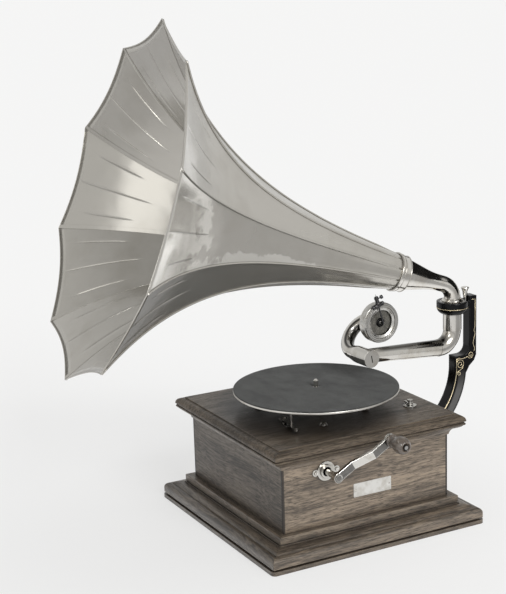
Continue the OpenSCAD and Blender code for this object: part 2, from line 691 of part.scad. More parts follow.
module gooseneck() color([0.74, 0.73, 0.71]) at_goose() difference() {
  union() {
    rod_x(journal_r, -14, 18);
    translate([goose_x, 0, 0]) rotate([0, 90, 0]) cylinder(r1 = goose_tube, r2 = 13.2, h = 14);
    rod_x(13.2, -16, -12 - body_gap);
    translate([goose_x, goose_r, 0]) rotate([0, 0, 90]) rotate_extrude(angle = 180)
      translate([goose_r, 0]) circle(goose_tube);
    translate([0, 2 * goose_r, 0]) rod_x(goose_tube, goose_x, -26);
  }
  rod_x(goose_bore, goose_x, 14);
  translate([goose_x, goose_r, 0]) rotate([0, 0, 90]) rotate_extrude(angle = 180)
    translate([goose_r, 0]) circle(goose_bore);
  translate([0, 2 * goose_r, 0]) rod_x(goose_bore, goose_x, -25);
  translate([0, -5, 0]) rotate([90, 0, 0]) cylinder(r = arm_bore, h = 12);
}

// ring of the sound box between two planes
module box_ring(r, ri, x0, x1) {
  difference() {
    rod_x(r, x0, x1);
    rod_x(ri, x0 - 1, x1 + 1);
  }
}

module box_back() color([0.70, 0.69, 0.67]) at_box() {
  box_ring(13, goose_bore, -26, -22);
  box_ring(box_r - 1, goose_bore, -22, -19);
}

module box_case() color([0.76, 0.75, 0.73]) at_box() {
  box_ring(box_r, box_r - 8, -19, -12.7);
  box_ring(box_r, box_r - 4.5, -12.7, -7.5);
  box_ring(box_r - 1.2, box_r - 7, -7.5, -4);
}

module box_gaskets() color([0.55, 0.42, 0.36]) at_box()
  for (x = [-11.5, -8.7]) translate([x, 0, 0]) rotate([0, 90, 0]) rotate_extrude()
    translate([box_r - 6, 0]) circle(1.2, $fn = 24);

module diaphragm() color([0.82, 0.80, 0.74]) at_box() {
  rod_x(box_r - 5, -10.3, -9.9);
  box_ring(5, 2.2, -9.9, -9.1);
}

// lever from the diaphragm centre over the rim to the needle socket
module stylus_bar() color([0.30, 0.30, 0.30]) at_box() {
  rod_x(1.1, -9.9, -0.6);
  rotate([needle_angle, 0, 0]) difference() {
    union() {
      translate([-2.4, 0, -0.9]) cube([1.8, box_r + 4, 1.8]);
      translate([-4, box_r - 5, -6]) cube([1.2, 6, 12]);
      translate([-2.8, box_r - 3.5, -6]) cube([2.6, 2, 12]);
      translate([-1.5, box_r + 4, 0]) rotate([-90, 0, 0]) cylinder(r = 3, h = 10);
    }
    translate([-1.5, box_r + 6, 0]) rotate([-90, 0, 0]) cylinder(r = 0.85, h = 10);
    translate([-1.5, box_r + 10, -4]) cylinder(r = 1.1, h = 4);
  }
}

module needle_screw() color([0.74, 0.73, 0.71]) at_box() rotate([needle_angle, 0, 0])
  translate([-1.5, box_r + 10, 0]) {
    translate([0, 0, -7.5]) cylinder(r = 1.1 - run_gap, h = 6.2);
    translate([0, 0, -10.5]) cylinder(r = 3, h = 3);
  }

module needle() color([0.80, 0.80, 0.80]) at_box() rotate([needle_angle, 0, 0])
  translate([-1.5, box_r + 6, 0]) rotate([-90, 0, 0]) {
    cylinder(r = 0.85, h = 9);
    translate([0, 0, 9]) cylinder(r1 = 0.85, r2 = 0.2, h = 3.5);
  }

// horn

module at_horn_swivel() translate([0, swivel_y, 0]) rotate([0, 0, horn_yaw]) children();
module at_neck() at_horn_swivel() translate([0, -elbow_bend * (1 - cos(turn)), elbow_z])
  translate([0, 0, elbow_bend * sin(turn)]) rotate([turn, 0, 0]) translate([0, 0, elbow_len]) children();

module elbow_shape(d) {
  at_horn_swivel() {
    translate([0, 0, ring_top - 5.4]) cylinder(r = elbow_r - d, h = elbow_z - ring_top + 5.4);
    translate([0, -elbow_bend, elbow_z]) bend(elbow_bend, elbow_r - d, turn);
  }
  at_neck() {
    translate([0, 0, -elbow_len]) cylinder(r1 = elbow_r - d, r2 = elbow_r + 0.5 - d, h = 20);
    translate([0, 0, d / 2 - elbow_len - 1.8]) cylinder(r = elbow_r + 0.8 - 1.25 * d, h = 3.6 - d);
    translate([0, 0, 20 - elbow_len]) cylinder(r1 = elbow_r + 0.5 - d, r2 = neck_r - 0.1 - d, h = elbow_len - 22);
    translate([0, 0, -2]) cylinder(r = neck_r - 0.1 - d, h = 10);
  }
}

module horn_elbow() color([0.74, 0.73, 0.71]) {
  difference() {
    elbow_shape(0);
    elbow_shape(1.6);
    at_horn_swivel() translate([0, 0, ring_top - 10]) cylinder(r = elbow_r - 1.6, h = 6);
    at_neck() translate([0, 0, 4]) cylinder(r = neck_r - 1.7, h = 6);
  }
  at_horn_swivel() rotate_extrude() polygon([[elbow_r - 1, ring_top + body_gap], [17, ring_top + body_gap],
    [17, ring_top + 1.8], [14.4, ring_top + 4.4], [elbow_r - 1, ring_top + 4.4]]);
}

// inner radius of the horn at a fraction of its length, measured at the seams
function horn_r(t) = neck_r * pow(bell_r / neck_r, t - 0.05 * sin(180 * t));
function slope(t) = (horn_r(t + 0.002) - horn_r(t - 0.002)) / (0.004 * horn_len);
// panels are round at the neck and flat at the bell
function flat(t) = min(1, max(0, (t - 0.1) / 0.5));
function edge_t(u) = 1 - scallop / horn_len * (1 - u * u);
// point of a petal: row fraction t, angle u from -1 to 1 across the petal, offset d, stretch e
function petal_point(t, u, d, e) =
  let (w = t * edge_t(u), a = half_petal * u, g = slope(w), q = sqrt(1 + g * g),
    r = horn_r(w) * (1 - flat(w) + flat(w) * cos(half_petal) / cos(a)))
  let (rr = r + d / q + e * g / q)
  [rr * cos(a), rr * sin(a), w * horn_len - d * g / q + e / q];
// columns across a petal, the outer two as wide as half a rib
function column(t, j, e) = let (q = horn_r(t) * half_petal * PI / 180, k = 1 - rib_w / q, s = 1 - e / q)
  [-s, -k, -0.5, 0, 0.5, k, s][j];
function row_t(i) = i / rows;

module petal() {
  n = rows + 1;
  m = 7 * n;
  pts = [for (d = [0, sheet_t]) for (i = [0:rows]) for (j = [0:6])
    petal_point(row_t(i), column(row_t(i), j, seam_gap), d, 0)];
  skin = [for (i = [0:rows - 1]) for (j = [0:5]) let (a = 7 * i + j)
    [[a, a + 7, a + 1], [a + 1, a + 7, a + 8]]];
  polyhedron(points = pts, faces = concat(
    [for (s = skin) s[0]], [for (s = skin) s[1]],
    [for (s = skin) [s[0][0] + m, s[0][2] + m, s[0][1] + m]],
    [for (s = skin) [s[1][0] + m, s[1][2] + m, s[1][1] + m]],
    [for (i = [0:rows - 1]) let (a = 7 * i) each [[a, a + m, a + 7], [a + 7, a + m, a + 7 + m]]],
    [for (i = [0:rows - 1]) let (a = 7 * i + 6) each [[a, a + 7, a + m], [a + 7, a + 7 + m, a + m]]],
    [for (j = [0:5]) each [[j, j + 1, j + m], [j + 1, j + 1 + m, j + m]]],
    [for (j = [0:5]) let (a = 7 * rows + j) each [[a, a + m, a + 1], [a + 1, a + m, a + 1 + m]]]));
}

module around_horn() at_neck() for (k = [0:petals - 1])
  rotate([0, 0, 90 + half_petal * (2 * k + 1)]) children();

module horn_petals() color([0.62, 0.59, 0.53]) around_horn() petal();

// rib along the seam at the far side of a petal, its base shared with both petals
rib_row = 2;
function turn_z(p, a) = [p[0] * cos(a) - p[1] * sin(a), p[0] * sin(a) + p[1] * cos(a), p[2]];
function rib_point(i, c) = let (t = row_t(i), k = column(t, 5, 0))
  c == 0 ? petal_point(t, k, sheet_t, 0) :
  c == 1 ? petal_point(t, 1, sheet_t, 0) :
  c == 2 ? turn_z(petal_point(t, -k, sheet_t, 0), 2 * half_petal) :
  c == 3 ? turn_z(petal_point(t, -(1 + k) / 2, sheet_t + rib_h, 0), 2 * half_petal) :
  petal_point(t, (1 + k) / 2, sheet_t + rib_h, 0);

module rib() {
  n = rows - rib_row;
  polyhedron(points = [for (i = [rib_row:rows]) for (c = [0:4]) rib_point(i, c)], faces = concat(
    [[0, 1, 4], [1, 3, 4], [1, 2, 3]],
    [for (f = [[4, 1, 0], [4, 3, 1], [3, 2, 1]]) [for (v = f) v + 5 * n]],
    [for (i = [0:n - 1]) for (c = [0:4]) [5 * i + c, 5 * i + 5 + c, 5 * i + (c + 1) % 5]],
    [for (i = [0:n - 1]) for (c = [0:4]) [5 * i + (c + 1) % 5, 5 * i + 5 + c, 5 * i + 5 + (c + 1) % 5]]));
}

module horn_ribs() color([0.60, 0.57, 0.51]) around_horn() rib();

// rolled edge of one petal, standing on the end of the sheet
module petal_rim() {
  sec = [[0, 0], [sheet_t, 0], [sheet_t + 0.6, 1.6], [-0.6, 1.6]];
  pts = [for (j = [0:6]) for (c = sec) petal_point(1, column(1, j, 0), c[0], c[1])];
  polyhedron(points = pts, faces = concat([[0, 1, 2, 3]], [[27, 26, 25, 24]],
    [for (j = [0:5]) for (c = [0:3]) [4 * j + c, 4 * j + 4 + c, 4 * j + (c + 1) % 4]],
    [for (j = [0:5]) for (c = [0:3]) [4 * j + (c + 1) % 4, 4 * j + 4 + c, 4 * j + 4 + (c + 1) % 4]]));
}

module horn_rim() color([0.58, 0.55, 0.49]) around_horn() petal_rim();

// band that holds the petals on the elbow
band_len = 15.5;
module horn_ferrule() color([0.74, 0.73, 0.71]) at_neck() difference() {
  union() {
    translate([0, 0, -2]) cylinder(r = neck_r + 2.6, h = 2);
    cylinder(r1 = neck_r + 2.6, r2 = horn_r(band_len / horn_len) + 2.8, h = band_len);
  }
  translate([0, 0, -3]) cylinder(r = neck_r - 0.1, h = 4);
  translate([0, 0, -0.05])
    cylinder(r1 = neck_r + sheet_t, r2 = horn_r(band_len / horn_len) + sheet_t + 0.1, h = band_len + 0.1);
}

// assembly
base_board();
plinth_moulding();
bed_moulding();
front_panel();
rear_panel();
left_panel();
right_panel();
corner_blocks();
cornice();
top_board();
escutcheon();
motor_top_plate();
motor_low_plate();
motor_pillars();
motor_bolts();
motor_spacers();
barrel_arbor();
spring_barrel();
barrel_cover();
mainspring();
crown_wheel();
ratchet_wheel();
click();
inter_shaft();
inter_wheel();
spindle();
worm_wheel();
turntable();
turntable_felt();
governor_shaft();
governor_weights();
governor_disc();
crank_shaft();
crank_arm();
crank_pin();
crank_knob();
speed_dial();
speed_lever();
brake_base();
brake_lever();
brake_pad();
bracket();
bracket_bolts();
bearing_cap();
thumb_screw();
tone_arm();
pivot_cap();
gooseneck();
box_back();
box_case();
box_gaskets();
diaphragm();
stylus_bar();
needle_screw();
needle();
horn_elbow();
horn_ferrule();
horn_petals();
horn_ribs();
horn_rim();
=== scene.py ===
# %% [markdown]
# # A horn gramophone, finished for its portrait
#
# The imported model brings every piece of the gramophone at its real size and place: the oak case, the spring
# motor inside it, the tone arm and the big ten-petal horn. This file dresses it. It gives each surface the
# finish of the real thing, and makes the pieces that need a finer hand than a construction model has: the
# pressed petals of the horn, the felt, the turned knob, the gold lining and the small screws.

# %% Load the frame
import json
import math

import bmesh
import bpy
from mathutils import Matrix, Vector, noise


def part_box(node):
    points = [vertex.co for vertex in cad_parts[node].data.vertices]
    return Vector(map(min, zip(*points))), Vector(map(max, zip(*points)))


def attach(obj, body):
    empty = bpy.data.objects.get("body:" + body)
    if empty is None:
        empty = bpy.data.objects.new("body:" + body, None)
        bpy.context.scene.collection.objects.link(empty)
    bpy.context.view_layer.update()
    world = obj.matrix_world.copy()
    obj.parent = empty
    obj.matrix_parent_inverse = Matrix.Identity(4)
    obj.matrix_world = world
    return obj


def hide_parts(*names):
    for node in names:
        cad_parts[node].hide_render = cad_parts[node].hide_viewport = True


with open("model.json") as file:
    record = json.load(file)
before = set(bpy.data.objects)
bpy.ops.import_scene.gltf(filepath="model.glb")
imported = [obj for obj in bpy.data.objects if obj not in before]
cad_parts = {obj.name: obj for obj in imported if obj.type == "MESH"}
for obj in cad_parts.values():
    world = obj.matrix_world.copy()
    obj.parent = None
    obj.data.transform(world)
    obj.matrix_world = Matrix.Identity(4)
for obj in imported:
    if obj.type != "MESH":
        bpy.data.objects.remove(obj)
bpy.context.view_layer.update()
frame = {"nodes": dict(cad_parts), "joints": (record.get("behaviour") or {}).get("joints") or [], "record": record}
nodes = frame["nodes"]
scene = bpy.context.scene
scene.view_settings.view_transform = "Standard"
MM = 0.001

# %% [markdown]
# ## The camera
#
# The portrait was taken from the crank side, a little above the turntable, with a long lens. The place, the
# angles and the focal length were found by matching the corners of the square case. A camera in Blender
# looks along its own -Z, so its matrix is built from three directions: right, up and back.

# %% Place the camera
IMAGE_HEIGHT_PIXELS = 594
FOCAL_PIXELS = 1438.6
SENSOR_MM = 36.0
CAMERA_AT = Vector((1.8149, -1.0642, 0.8499))
CAMERA_YAW = math.radians(62.11)
CAMERA_PITCH = math.radians(13.56)
CAMERA_ROLL = math.radians(-1.83)

ahead = Vector((
    -math.sin(CAMERA_YAW) * math.cos(CAMERA_PITCH),
    math.cos(CAMERA_YAW) * math.cos(CAMERA_PITCH),
    -math.sin(CAMERA_PITCH),
))
level_right = ahead.cross(Vector((0, 0, 1))).normalized()
level_up = level_right.cross(ahead)
camera_right = level_right * math.cos(CAMERA_ROLL) + level_up * math.sin(CAMERA_ROLL)
camera_up = level_up * math.cos(CAMERA_ROLL) - level_right * math.sin(CAMERA_ROLL)

camera_data = bpy.data.cameras.new("portrait_camera")
camera_data.sensor_width = SENSOR_MM
camera_data.lens = SENSOR_MM * FOCAL_PIXELS / IMAGE_HEIGHT_PIXELS
camera = bpy.data.objects.new("portrait_camera", camera_data)
camera.matrix_world = Matrix.Translation(CAMERA_AT) @ Matrix(
    (camera_right, camera_up, -ahead)).transposed().to_4x4()
scene.collection.objects.link(camera)
scene.camera = camera
print("camera: lens", round(camera_data.lens, 2), "mm at", tuple(round(c, 3) for c in CAMERA_AT))

# %% [markdown]
# ## Small helpers for shader nodes
#
# Materials are built from nodes, and a few helpers keep that readable. `add` makes a node and fills its
# sockets, with a link where the value is another socket. `calc`, `product` and `vector_calc` do sums, and
# `spread` moves a number from one range to another.

# %% Node helpers
def add(tree, kind, settings=None, inputs=None):
    node = tree.nodes.new("ShaderNode" + kind)
    for key, value in (settings or {}).items():
        setattr(node, key, value)
    for key, value in (inputs or {}).items():
        if isinstance(value, bpy.types.NodeSocket):
            tree.links.new(value, node.inputs[key])
        else:
            node.inputs[key].default_value = value
    return node


def calc(tree, operation, a, b=0.0, clamp=False):
    return add(tree, "Math", {"operation": operation, "use_clamp": clamp}, {0: a, 1: b}).outputs[0]


def product(tree, first, *others):
    for other in others:
        first = calc(tree, "MULTIPLY", first, other)
    return first


def vector_calc(tree, operation, a, b=(0, 0, 0)):
    return add(tree, "VectorMath", {"operation": operation}, {0: a, 1: b}).outputs


def spread(tree, value, low, high, start=0.0, end=1.0):
    return add(tree, "MapRange", inputs={0: value, 1: start, 2: end, 3: low, 4: high}).outputs[0]


print("node helpers ready")

# %% [markdown]
# Colours and textures need a few more. `mixed` blends two colours, `cloud` is noise, and `ramp` turns a
# number into a colour or a curve. The renderer keeps a ramp as a table of 256 steps, so a mark finer than
# 4 mm goes through `spread` first.

# %% Colour and noise helpers
def opaque(colour):
    return (*colour, 1) if isinstance(colour, tuple) else colour


def mixed(tree, factor, a, b, blend="MIX"):
    settings = {"data_type": "RGBA", "blend_type": blend}
    return add(tree, "Mix", settings, {0: factor, 6: opaque(a), 7: opaque(b)}).outputs[2]


def ramp(tree, factor, *stops):
    node = add(tree, "ValToRGB", inputs={0: factor})
    elements = node.color_ramp.elements
    while len(elements) < len(stops):
        elements.new(0.5)
    for element, (place, shade) in zip(elements, stops):
        element.position = place
        element.color = (shade, shade, shade, 1) if isinstance(shade, (int, float)) else opaque(shade)
    return node.outputs[0]


def cloud(tree, vector, scale, detail=3.0, roughness=0.5):
    return add(tree, "TexNoise", inputs={
        "Vector": vector, "Scale": scale, "Detail": detail, "Roughness": roughness}).outputs[0]


def stretched(tree, vector, along):
    return vector_calc(tree, "MULTIPLY", vector, (along, 1.0, 1.0))["Vector"]


print("colour and noise helpers ready")

# %% [markdown]
# Many marks depend on a place: a painted dark reflection on top of the tone arm, a painted shadow under the
# turntable, dirt in a mitre. These helpers tell where on the machine a point lies, which way it faces, and
# how far it is from another point. Every imported node has its own coordinates at the machine's origin, so
# one set of measures serves them all.

# %% Helpers for places
def surface_place(tree):
    return add(tree, "TexCoord").outputs["Object"]


def seen_sideways(tree):
    return vector_calc(tree, "MULTIPLY", surface_place(tree), (0, 1, 1))["Vector"]


def axes_of(tree, vector):
    return add(tree, "SeparateXYZ", inputs={0: vector}).outputs


def facing(tree, axis):
    return axes_of(tree, add(tree, "NewGeometry").outputs["Normal"])[axis]


def away_from(tree, vector, point):
    return vector_calc(tree, "DISTANCE", vector, point)["Value"]


print("place helpers ready")

# %% [markdown]
# ## The studio: paper
#
# The machine stands on pale paper without a horizon. Paper that is only lit would need so much light to
# look this pale that its shadows would turn hard. So the camera sees it half lit and half glowing, a little
# darker round the machine, and every other ray finds it only lit.

# %% The paper floor
PAPER = (0.865, 0.865, 0.86)
PAPER_GLOW = (1.08, 1.08, 1.075)
SHADE_GLOW = (0.95, 0.95, 0.945)
SHADE_AT = (-0.05, -0.30, 0.0)
SHADE_FROM, SHADE_TO = 0.12, 0.80
GLOW_SHARE = 0.62
FLOOR_HALF, FLOOR_Z = 45.0, -0.0002


def stage_sheet(name, corners, material):
    mesh = bpy.data.meshes.new(name)
    mesh.from_pydata(corners, [], [tuple(range(len(corners)))])
    mesh.materials.append(material)
    sheet = bpy.data.objects.new(name, mesh)
    scene.collection.objects.link(sheet)
    return sheet


def square(half, height):
    return [(-half, -half, height), (half, -half, height), (half, half, height), (-half, half, height)]


def paper_material():
    paper = bpy.data.materials.new("studio_paper")
    paper.use_nodes = True
    tree = paper.node_tree
    shader = tree.nodes["Principled BSDF"]
    shader.inputs["Base Color"].default_value = opaque(PAPER)
    shader.inputs["Roughness"].default_value = 1.0
    shader.inputs["Specular IOR Level"].default_value = 0.0
    from_shade = away_from(tree, surface_place(tree), SHADE_AT)
    glow_colour = ramp(tree, from_shade, (SHADE_FROM, SHADE_GLOW), (SHADE_TO, PAPER_GLOW))
    glow = add(tree, "Emission", inputs={"Color": glow_colour, "Strength": 1.0}).outputs[0]
    share = product(tree, add(tree, "LightPath").outputs["Is Camera Ray"], GLOW_SHARE)
    blend = add(tree, "MixShader", inputs={0: share, 1: shader.outputs[0], 2: glow}).outputs[0]
    tree.links.new(blend, tree.nodes["Material Output"].inputs["Surface"])
    return paper


stage_sheet("paper_floor", square(FLOOR_HALF, FLOOR_Z), paper_material())
print("paper:", 2 * FLOOR_HALF, "m square")

# %% [markdown]
# ## The studio: light
#
# One broad, low sun comes from the right, as the bright crank side and the dark front show. The world fills
# in the shade, more from the walls than from the ceiling. It answers each kind of ray in its own way: the
# camera sees a plain backdrop, matt surfaces are lit by the walls, and polished metal sees a room with a
# grey ceiling.

# %% World and sun
BACKDROP = (0.935, 0.935, 0.93)
AMBIENT_WALLS = 0.70
AMBIENT_CEILING = 0.40
ROOM = (0.80, 0.80, 0.79)
ROOM_CEILING = (0.52, 0.52, 0.515)
SUN_STRENGTH = 1.75
SUN_ANGLE = math.radians(30)
SUN_FROM = Vector((0.86, 0.05, 0.46))


def light_world():
    world = bpy.data.worlds.new("studio")
    scene.world = world
    world.use_nodes = True
    tree = world.node_tree
    path = add(tree, "LightPath").outputs
    seen = calc(tree, "MAXIMUM", path["Is Camera Ray"], path["Is Transmission Ray"])
    height = axes_of(tree, add(tree, "TexCoord").outputs["Generated"])["Z"]
    room = ramp(tree, height, (0.50, ROOM), (0.86, ROOM_CEILING))
    ambient = ramp(tree, height, (0.05, AMBIENT_WALLS), (0.9, AMBIENT_CEILING))
    lit = mixed(tree, path["Is Glossy Ray"], ambient, room)
    tree.links.new(mixed(tree, seen, lit, BACKDROP), tree.nodes["Background"].inputs["Color"])


def sun_lamp():
    lamp = bpy.data.lights.new("window_sun", "SUN")
    lamp.energy = SUN_STRENGTH
    lamp.angle = SUN_ANGLE
    sun = bpy.data.objects.new("window_sun", lamp)
    sun.matrix_world = SUN_FROM.to_track_quat("Z", "Y").to_matrix().to_4x4()
    scene.collection.objects.link(sun)


light_world()
sun_lamp()
print("light: sun", SUN_STRENGTH, "ambient", AMBIENT_CEILING, "to", AMBIENT_WALLS)

# %% [markdown]
# ## The studio: cards for the metal
#
# Polished metal shows what stands round it, so a photographer puts up cards that the lens can't see. Here
# sheets that only glossy rays find do the same. Two bright cards light the petals and the edges, and a
# black cloth behind the bracket draws the dark lines along the tubes.

# %% Bright cards and black cloth
CARD_WHITE = (1, 1, 0.985)
CARDS = (
    ("petal_card", Vector((0.85, -3.0, 0.98)), 1.35, 1.5, 2.0, Vector((-0.05, -0.2, 0.45))),
    ("edge_card", Vector((1.67, -1.99, 1.75)), 0.5, 0.9, 9.0, Vector((0.0, 0.0, 0.25))),
)
CLOTH_Y, CLOTH_GLOW = 0.42, 0.012
BLACK_CLOTH = (
    (0.03, 0.305), (0.12, 0.275), (0.21, 0.345), (0.24, 0.46), (0.02, 0.50), (-0.15, 0.49), (-0.28, 0.44),
    (-0.20, 0.39), (-0.06, 0.365))


def glossy_only(sheet):
    sheet.visible_camera = False
    sheet.visible_diffuse = False
    sheet.visible_transmission = False
    sheet.visible_shadow = False


def glowing(name, strength):
    glow = bpy.data.materials.new(name)
    glow.use_nodes = True
    tree = glow.node_tree
    tree.nodes.remove(tree.nodes["Principled BSDF"])
    emission = add(tree, "Emission", inputs={"Color": opaque(CARD_WHITE), "Strength": strength})
    tree.links.new(emission.outputs[0], tree.nodes["Material Output"].inputs["Surface"])
    return glow, tree, emission


def bright_card(name, centre, width, height, shine, aim):
    toward = (aim - centre).normalized()
    across = toward.cross(Vector((0, 0, 1))).normalized() * width / 2
    upward = across.cross(toward).normalized() * height / 2
    low, high = centre - upward, centre + upward
    corners = [low - across, low + across, high + across, high - across]
    glossy_only(stage_sheet(name, corners, glowing(name, shine)[0]))


for card in CARDS:
    bright_card(*card)
cloth_corners = [(x, CLOTH_Y, z) for x, z in BLACK_CLOTH]
glossy_only(stage_sheet("black_cloth", cloth_corners, glowing("black_cloth", CLOTH_GLOW)[0]))
print("cards:", [card[0] for card in CARDS], "and a black cloth")

# %% [markdown]
# The last sheet lies on the floor round the machine and gives the metal light and dark fields to show. Its
# shades go by bearing, as a share of a full turn, and by reach from the machine, as a share of four metres.
# Noise blots the part that the outside of the horn mirrors.

# %% The mottled sheet
SHEET_HALF, SHEET_Z, SHEET_REACH = 6.0, -0.0001, 4.0
NEAR_TO_FAR = ((0.15, 1.10), (0.5, 0.62))
ROUND_ABOUT = (
    (0.50, 0.85), (0.58, 0.50), (0.69, 0.46), (0.755, 0.85), (0.80, 1.25), (0.86, 1.1), (0.91, 0.26),
    (1.0, 0.40))
BLOTS_SCALE, BLOT_SHADES = 3.2, ((0.46, 0.66), (0.54, 1.3))
BLOTTED_BEARINGS = ((0.66, 0.0), (0.72, 1.0), (0.84, 1.0), (0.90, 0.0))
BEHIND = ((0.54, 0.0), (0.58, 1.0)), ((0.11, 0.0), (0.18, 1.0))
BESIDE = ((0.88, 0.0), (0.91, 1.0)), ((0.065, 0.0), (0.085, 1.0))


def mottled_sheet(name):
    look, tree, emission = glowing(name, 1.0)
    where = surface_place(tree)
    axes = axes_of(tree, where)
    reach = product(tree, vector_calc(tree, "LENGTH", where)["Value"], 1 / SHEET_REACH)
    turns = calc(tree, "DIVIDE", calc(tree, "ARCTAN2", axes["Y"], axes["X"]), math.tau)
    bearing = calc(tree, "ADD", turns, 0.5)
    blots = ramp(tree, cloud(tree, where, BLOTS_SCALE, 3.0, 0.6), *BLOT_SHADES)
    blotted = mixed(tree, ramp(tree, bearing, *BLOTTED_BEARINGS), (1, 1, 1), blots)
    dim = mixed(tree, 1.0, ramp(tree, bearing, *ROUND_ABOUT), blotted, "MULTIPLY")
    patches = [product(tree, ramp(tree, bearing, *bearings), ramp(tree, reach, *reaches))
               for bearings, reaches in (BEHIND, BESIDE)]
    plain = ramp(tree, reach, *NEAR_TO_FAR)
    tree.links.new(mixed(tree, calc(tree, "MAXIMUM", *patches), plain, dim), emission.inputs["Color"])
    glossy_only(stage_sheet(name, square(SHEET_HALF, SHEET_Z), look))


mottled_sheet("floor_card")
print("mottled sheet:", len(ROUND_ABOUT), "shades round the machine")

# %% [markdown]
# ## Effects that several finishes share
#
# Old surfaces have a few things in common: dirt sits in corners, edges are rubbed, and polished metal
# carries faint smears. The corner mask also paints the shade that falls in corners and hollows, and the
# edge mask also paints highlights along some edges. Each effect is a node group with named inputs, built
# once and placed in every material that needs it. A group hands out only masks and heights, and each
# material decides what they do to its colour or gloss.

# %% Corner dirt and shade, rubbed edges and highlights, metal smears
def group(name, inputs, outputs):
    tree = bpy.data.node_groups.new(name, "ShaderNodeTree")
    for socket, value in inputs.items():
        kind = "NodeSocketVector" if isinstance(value, tuple) else "NodeSocketFloat"
        tree.interface.new_socket(socket, in_out="INPUT", socket_type=kind).default_value = value
    for socket in outputs:
        tree.interface.new_socket(socket, in_out="OUTPUT", socket_type="NodeSocketFloat")
    return tree, tree.nodes.new("NodeGroupInput").outputs, tree.nodes.new("NodeGroupOutput").inputs


def place_group(tree, name, inputs):
    return add(tree, "Group", {"node_tree": bpy.data.node_groups[name]}, inputs).outputs


# Painted shade: this mask darkens corners and hollows by ambient occlusion, for dirt and for the shade that falls
# there.
def corner_dirt_and_shade():
    tree, given, out = group("Corner dirt and shade", {"Reach": 0.012, "Amount": 0.7}, ["Mask"])
    occlusion = add(tree, "AmbientOcclusion", {"samples": 6}, {"Distance": given["Reach"]}).outputs["AO"]
    closed = calc(tree, "SUBTRACT", 1.0, occlusion)
    speckle = spread(tree, cloud(tree, surface_place(tree), 130.0), 0.5, 1.5)
    mask = calc(tree, "MULTIPLY", product(tree, closed, speckle), given["Amount"], clamp=True)
    tree.links.new(mask, out["Mask"])


# The edge mask serves real wear, and also painted highlights along edges.
def rubbed_edges_and_highlights():
    tree, given, out = group("Rubbed edges and highlights", {"Width": 0.0015, "Amount": 0.8}, ["Mask"])
    rounded = add(tree, "Bevel", {"samples": 4}, {"Radius": given["Width"]}).outputs[0]
    true_normal = add(tree, "NewGeometry").outputs["Normal"]
    match = vector_calc(tree, "DOT_PRODUCT", rounded, true_normal)["Value"]
    edge = calc(tree, "MULTIPLY", calc(tree, "SUBTRACT", 1.0, match), 5.0, clamp=True)
    patches = ramp(tree, cloud(tree, surface_place(tree), 60.0, 4.0), (0.42, 0.25), (0.6, 1.0))
    mask = calc(tree, "MULTIPLY", product(tree, edge, patches), given["Amount"], clamp=True)
    tree.links.new(mask, out["Mask"])


def metal_smears():
    tree, given, out = group(
        "Metal smears", {"Scale": 30.0, "Low": 0.1, "High": 0.3}, ["Roughness", "Tarnish", "Height"])
    where = surface_place(tree)
    broad = cloud(tree, where, given["Scale"], 4.0, 0.6)
    fine = cloud(tree, where, product(tree, given["Scale"], 22.0), 2.0, 0.7)
    smear = calc(tree, "ADD", product(tree, broad, 0.9), product(tree, fine, 0.1))
    tree.links.new(spread(tree, smear, given["Low"], given["High"], 0.3, 0.7), out["Roughness"])
    tree.links.new(ramp(tree, broad, (0.5, 0.0), (0.72, 1.0)), out["Tarnish"])
    tree.links.new(fine, out["Height"])


corner_dirt_and_shade()
rubbed_edges_and_highlights()
metal_smears()
print("shared effects:", [g.name for g in bpy.data.node_groups])

# %% [markdown]
# Every finish starts from the standard shader. `finish` sets its constants, `feed` links what varies over
# the surface, and `bumped` gives it a fine relief, on edges that can be rounded first.

# %% Helpers for finishes
def finish(name, roughness=0.5, metallic=0.0, **constants):
    made = bpy.data.materials.new(name)
    made.use_nodes = True
    shader = made.node_tree.nodes["Principled BSDF"]
    shader.inputs["Roughness"].default_value = roughness
    shader.inputs["Metallic"].default_value = metallic
    for socket, value in constants.items():
        shader.inputs[socket.replace("_", " ")].default_value = value
    return made, made.node_tree, shader


def feed(tree, shader, **sources):
    for socket, source in sources.items():
        tree.links.new(source, shader.inputs[socket.replace("_", " ")])


def bumped(tree, shader, height, strength, distance, round_by=0.0):
    bump = add(tree, "Bump", inputs={"Strength": strength, "Distance": distance, "Height": height})
    if round_by:
        rounded = add(tree, "Bevel", {"samples": 8}, {"Radius": round_by}).outputs[0]
        tree.links.new(rounded, bump.inputs["Normal"])
    feed(tree, shader, Normal=bump.outputs[0])


def dirt_and_shade_mask(tree, reach, amount):
    return place_group(tree, "Corner dirt and shade", {"Reach": reach, "Amount": amount})["Mask"]


def wear_and_highlight_mask(tree, width, amount):
    return place_group(tree, "Rubbed edges and highlights", {"Width": width, "Amount": amount})["Mask"]


print("finish helpers ready")

# %% [markdown]
# ## Oak
#
# The case is fumed oak under old wax. Oak shows long streaks, broad darker bands and thousands of short
# pores, all running with the board. The group below draws them from noise stretched along its own X, which
# costs no picture and never repeats, and each board turns its coordinates so that X follows its length. A
# mitred moulding has four strips, so its material asks which side of the square a point is on.

